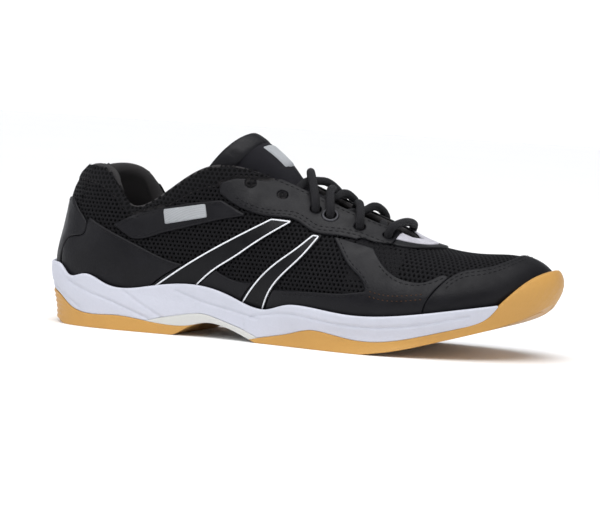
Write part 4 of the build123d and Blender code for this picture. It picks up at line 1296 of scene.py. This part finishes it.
# ---------------------------------------------------------------- piping and stitching
PIPING_LIFT = 1.25
PIPING_RADIUS = 0.46
stay_foot = curve(STAY_FOOT, 0.5)
for side in ("lateral", "medial"):
    for k, (rear, front) in enumerate(((STRIPE_1_REAR, STRIPE_1_FRONT), (STRIPE_2_REAR, STRIPE_2_FRONT))):
        rear_line = curve(shifted(rear[1:], 1.2, -0.4), 1.0)
        front_line = curve(shifted(front[:5], -1.8, -0.5), 1.0)
        shown = [line[line[:, 1] < np.interp(line[:, 0], stay_foot[:, 0], stay_foot[:, 1]) - 1.2]
                 for line in (rear_line, front_line)]
        turn = curve([tuple(shown[0][-1]), tuple(shown[1][0])], 1.0)[1:-1]
        u, v = place(side, even(np.concatenate([shown[0], turn, shown[1]]), 0.8))
        to_end = np.minimum(np.arange(len(u)), np.arange(len(u))[::-1])
        piece = tube(f"piping_{side}_{k}", skin(u, v, np.full(len(u), PIPING_LIFT)),
                     PIPING_RADIUS * np.minimum(1, to_end / 2.5 + 0.35), sides=8)
        dress(piece, "white_trim", nodes=[f"stripe_piping_{side}"])
        smooth_round(piece)


def inset_row(side, points, offset, lift=1.2):
    """A stitch row beside a side-view curve, offset to its left when positive."""
    line = curve(points, 1.0)
    run = np.gradient(line, axis=0)
    run /= np.linalg.norm(run, axis=1, keepdims=True)
    line = line + np.stack([-run[:, 1], run[:, 0]], axis=1) * offset
    u, v = place(side, line)
    return u, v, lift


def level_row(field, u_values, v_range, level, lift=1.2):
    """A stitch row where the field has a level, one place for each u."""
    v = np.linspace(*v_range, 140)
    us, vs = [], []
    for u in u_values:
        d = field(np.full(140, u), v, skin(np.full(140, u), v, np.zeros(140))) - level
        flips = np.flatnonzero((d[:-1] < 0) != (d[1:] < 0))
        if len(flips):
            k = flips[-1]
            us.append(u)
            vs.append(v[k] + (v[k + 1] - v[k]) * d[k] / (d[k] - d[k + 1]))
    return np.array(us), np.array(vs), lift


STITCH_INSET = 1.8                  # from a panel's edge to its first row of stitches
SECOND_INSET = 3.4
STAY_LIFT = 1.35                    # stitches on the eyestay, which lies highest

for side in ("lateral", "medial"):
    rows = [inset_row(side, points, -STITCH_INSET) for points in (HEEL_EDGE, BAND_TOP, BAND_FOOT[1:])]
    rows += [inset_row(side, STAY_FOOT[1:], inset, STAY_LIFT) for inset in (STITCH_INSET, SECOND_INSET)]
    rows += [inset_row(side, points, STITCH_INSET)
             for points in (SADDLE_REAR, SADDLE_FOOT, SADDLE_FRONT[1:-1])]
    top_u = np.linspace(side_at(side, 0.235), side_at(side, 0.37), 120)
    rows.append((top_u, np.full(120, 0.958), STAY_LIFT))
    dress(stitches(f"stitches_{side}", rows), "lace", material=THREAD)

toe_rows = []
for level in (1.8, 3.6):
    toe_rows.append(level_row(PANELS["toe_cap"][0], np.linspace(0.395, 0.605, 260), (0.3, 0.9), level, 1.2))
toe_rows.append(level_row(PANELS["backstay"][0], np.linspace(-0.05, 0.05, 90), (0.3, 0.82), 1.8, 1.2))
dress(stitches("stitches_toe_heel", toe_rows), "lace", material=THREAD)

BRONZE = cloth("bronze thread", (0.10, 0.045, 0.02), 3000, 0.5, 0.0001, 0.0)
bronze_rows = []
for side in ("lateral", "medial"):
    for drop in (0.0, 2.6):
        row = curve([(54, 31.5 - drop), (64, 30.0 - drop), (74, 30.5 - drop), (84, 32.0 - drop)], 0.5)
        u, v = place(side, row)
        bronze_rows.append((u, v))
dress(stitches("stitches_bronze", bronze_rows, length=1.1, gap=1.3, radius=0.22, lift=1.25), "leather",
      nodes=["forefoot_overlay_lateral", "forefoot_overlay_medial"], material=BRONZE)

# ---------------------------------------------------------------- stage, light and camera
FLOOR_HALF = 6                      # metres
floor = bpy.data.objects.new("floor", bpy.data.meshes.new("floor"))
floor.data.from_pydata([(x * FLOOR_HALF, y * FLOOR_HALF, 0) for x, y in ((-1, -1), (1, -1), (1, 1), (-1, 1))],
                       [], [(0, 1, 2, 3)])
bpy.context.scene.collection.objects.link(floor)
floor_paint = Nodes("pale floor")
floor.data.materials.append(floor_paint.finish(
    floor_paint.mix(floor_paint.noise(3, 3), (0.92, 0.92, 0.92), (0.94, 0.94, 0.94)), 0.6))

world = bpy.data.worlds.new("studio")
world.use_nodes = True
world.node_tree.nodes["Background"].inputs["Color"].default_value = (0.93, 0.95, 1.0, 1.0)
bpy.context.scene.world = world
sky = world.node_tree
height = sky.nodes.new("ShaderNodeSeparateXYZ")
sky.links.new(sky.nodes.new("ShaderNodeTexCoord").outputs["Generated"], height.inputs[0])
fade = sky.nodes.new("ShaderNodeMapRange")
sky.links.new(height.outputs["Z"], fade.inputs["Value"])
for key, number in (("From Min", 0.04), ("From Max", 0.3), ("To Min", 1.15), ("To Max", 0.32)):
    fade.inputs[key].default_value = number
sky.links.new(fade.outputs["Result"], sky.nodes["Background"].inputs["Strength"])
bpy.context.scene.view_settings.view_transform = "Standard"


LIGHTS = [                          # name, place, aim, size, power
    ("key", (0.25, -0.9, 1.1), (0, 0, 0.04), (0.9, 0.6), 5),
    ("top", (-0.1, 0.3, 1.3), (0, 0, 0.04), (1.2, 0.8), 3),
    ("rear", (-1.0, -0.7, 0.45), (-0.1, 0, 0.05), (0.35, 0.5), 1.6),
    ("front", (1.2, -0.4, 0.5), (0, 0, 0.04), (0.6, 0.6), 2),
]
for name, spot, aim, size, power in LIGHTS:
    light = bpy.data.lights.new(name, "AREA")
    light.shape = "RECTANGLE"
    light.size, light.size_y = size
    light.energy = power
    lamp = bpy.data.objects.new(name, light)
    lamp.location = spot
    lamp.rotation_euler = (Vector(aim) - Vector(spot)).to_track_quat("-Z", "Y").to_euler()
    bpy.context.scene.collection.objects.link(lamp)

sun = bpy.data.objects.new("sun", bpy.data.lights.new("sun", "SUN"))
sun.data.energy = 2.7
sun.data.angle = math.radians(70)
sun.rotation_euler = (math.radians(20), 0, 0)
bpy.context.scene.collection.objects.link(sun)

DISTANCE, AZIMUTH, ELEVATION, ROLL = 1.6, math.radians(19.5), math.radians(3.4), math.radians(3.2)
PIXELS_PER_METRE = 1790.0
FRAME_WIDTH, FRAME_HEIGHT = 600, 531
AIM_PIXEL = (307.25, 246.7)         # where the target falls in the frame
SENSOR = 36
target = Vector((0, 0, 0.05)) + Vector(SHIFT / 1000)
back = Vector((math.sin(AZIMUTH) * math.cos(ELEVATION), -math.cos(AZIMUTH) * math.cos(ELEVATION),
               math.sin(ELEVATION)))
level_right = (-back).cross(Vector((0, 0, 1))).normalized()
level_up = level_right.cross(-back)
right = math.cos(ROLL) * level_right + math.sin(ROLL) * level_up
upright = -math.sin(ROLL) * level_right + math.cos(ROLL) * level_up
camera_data = bpy.data.cameras.new("camera")
camera_data.sensor_width = SENSOR
camera_data.lens = PIXELS_PER_METRE * DISTANCE / FRAME_WIDTH * SENSOR
camera_data.shift_x = -(AIM_PIXEL[0] - FRAME_WIDTH / 2) / FRAME_WIDTH
camera_data.shift_y = (AIM_PIXEL[1] - FRAME_HEIGHT / 2) / FRAME_WIDTH
camera = bpy.data.objects.new("camera", camera_data)
bpy.context.scene.collection.objects.link(camera)
axes = Matrix((right, upright, back)).transposed().to_4x4()
camera.matrix_world = Matrix.Translation(target + back * DISTANCE) @ axes
bpy.context.scene.camera = camera
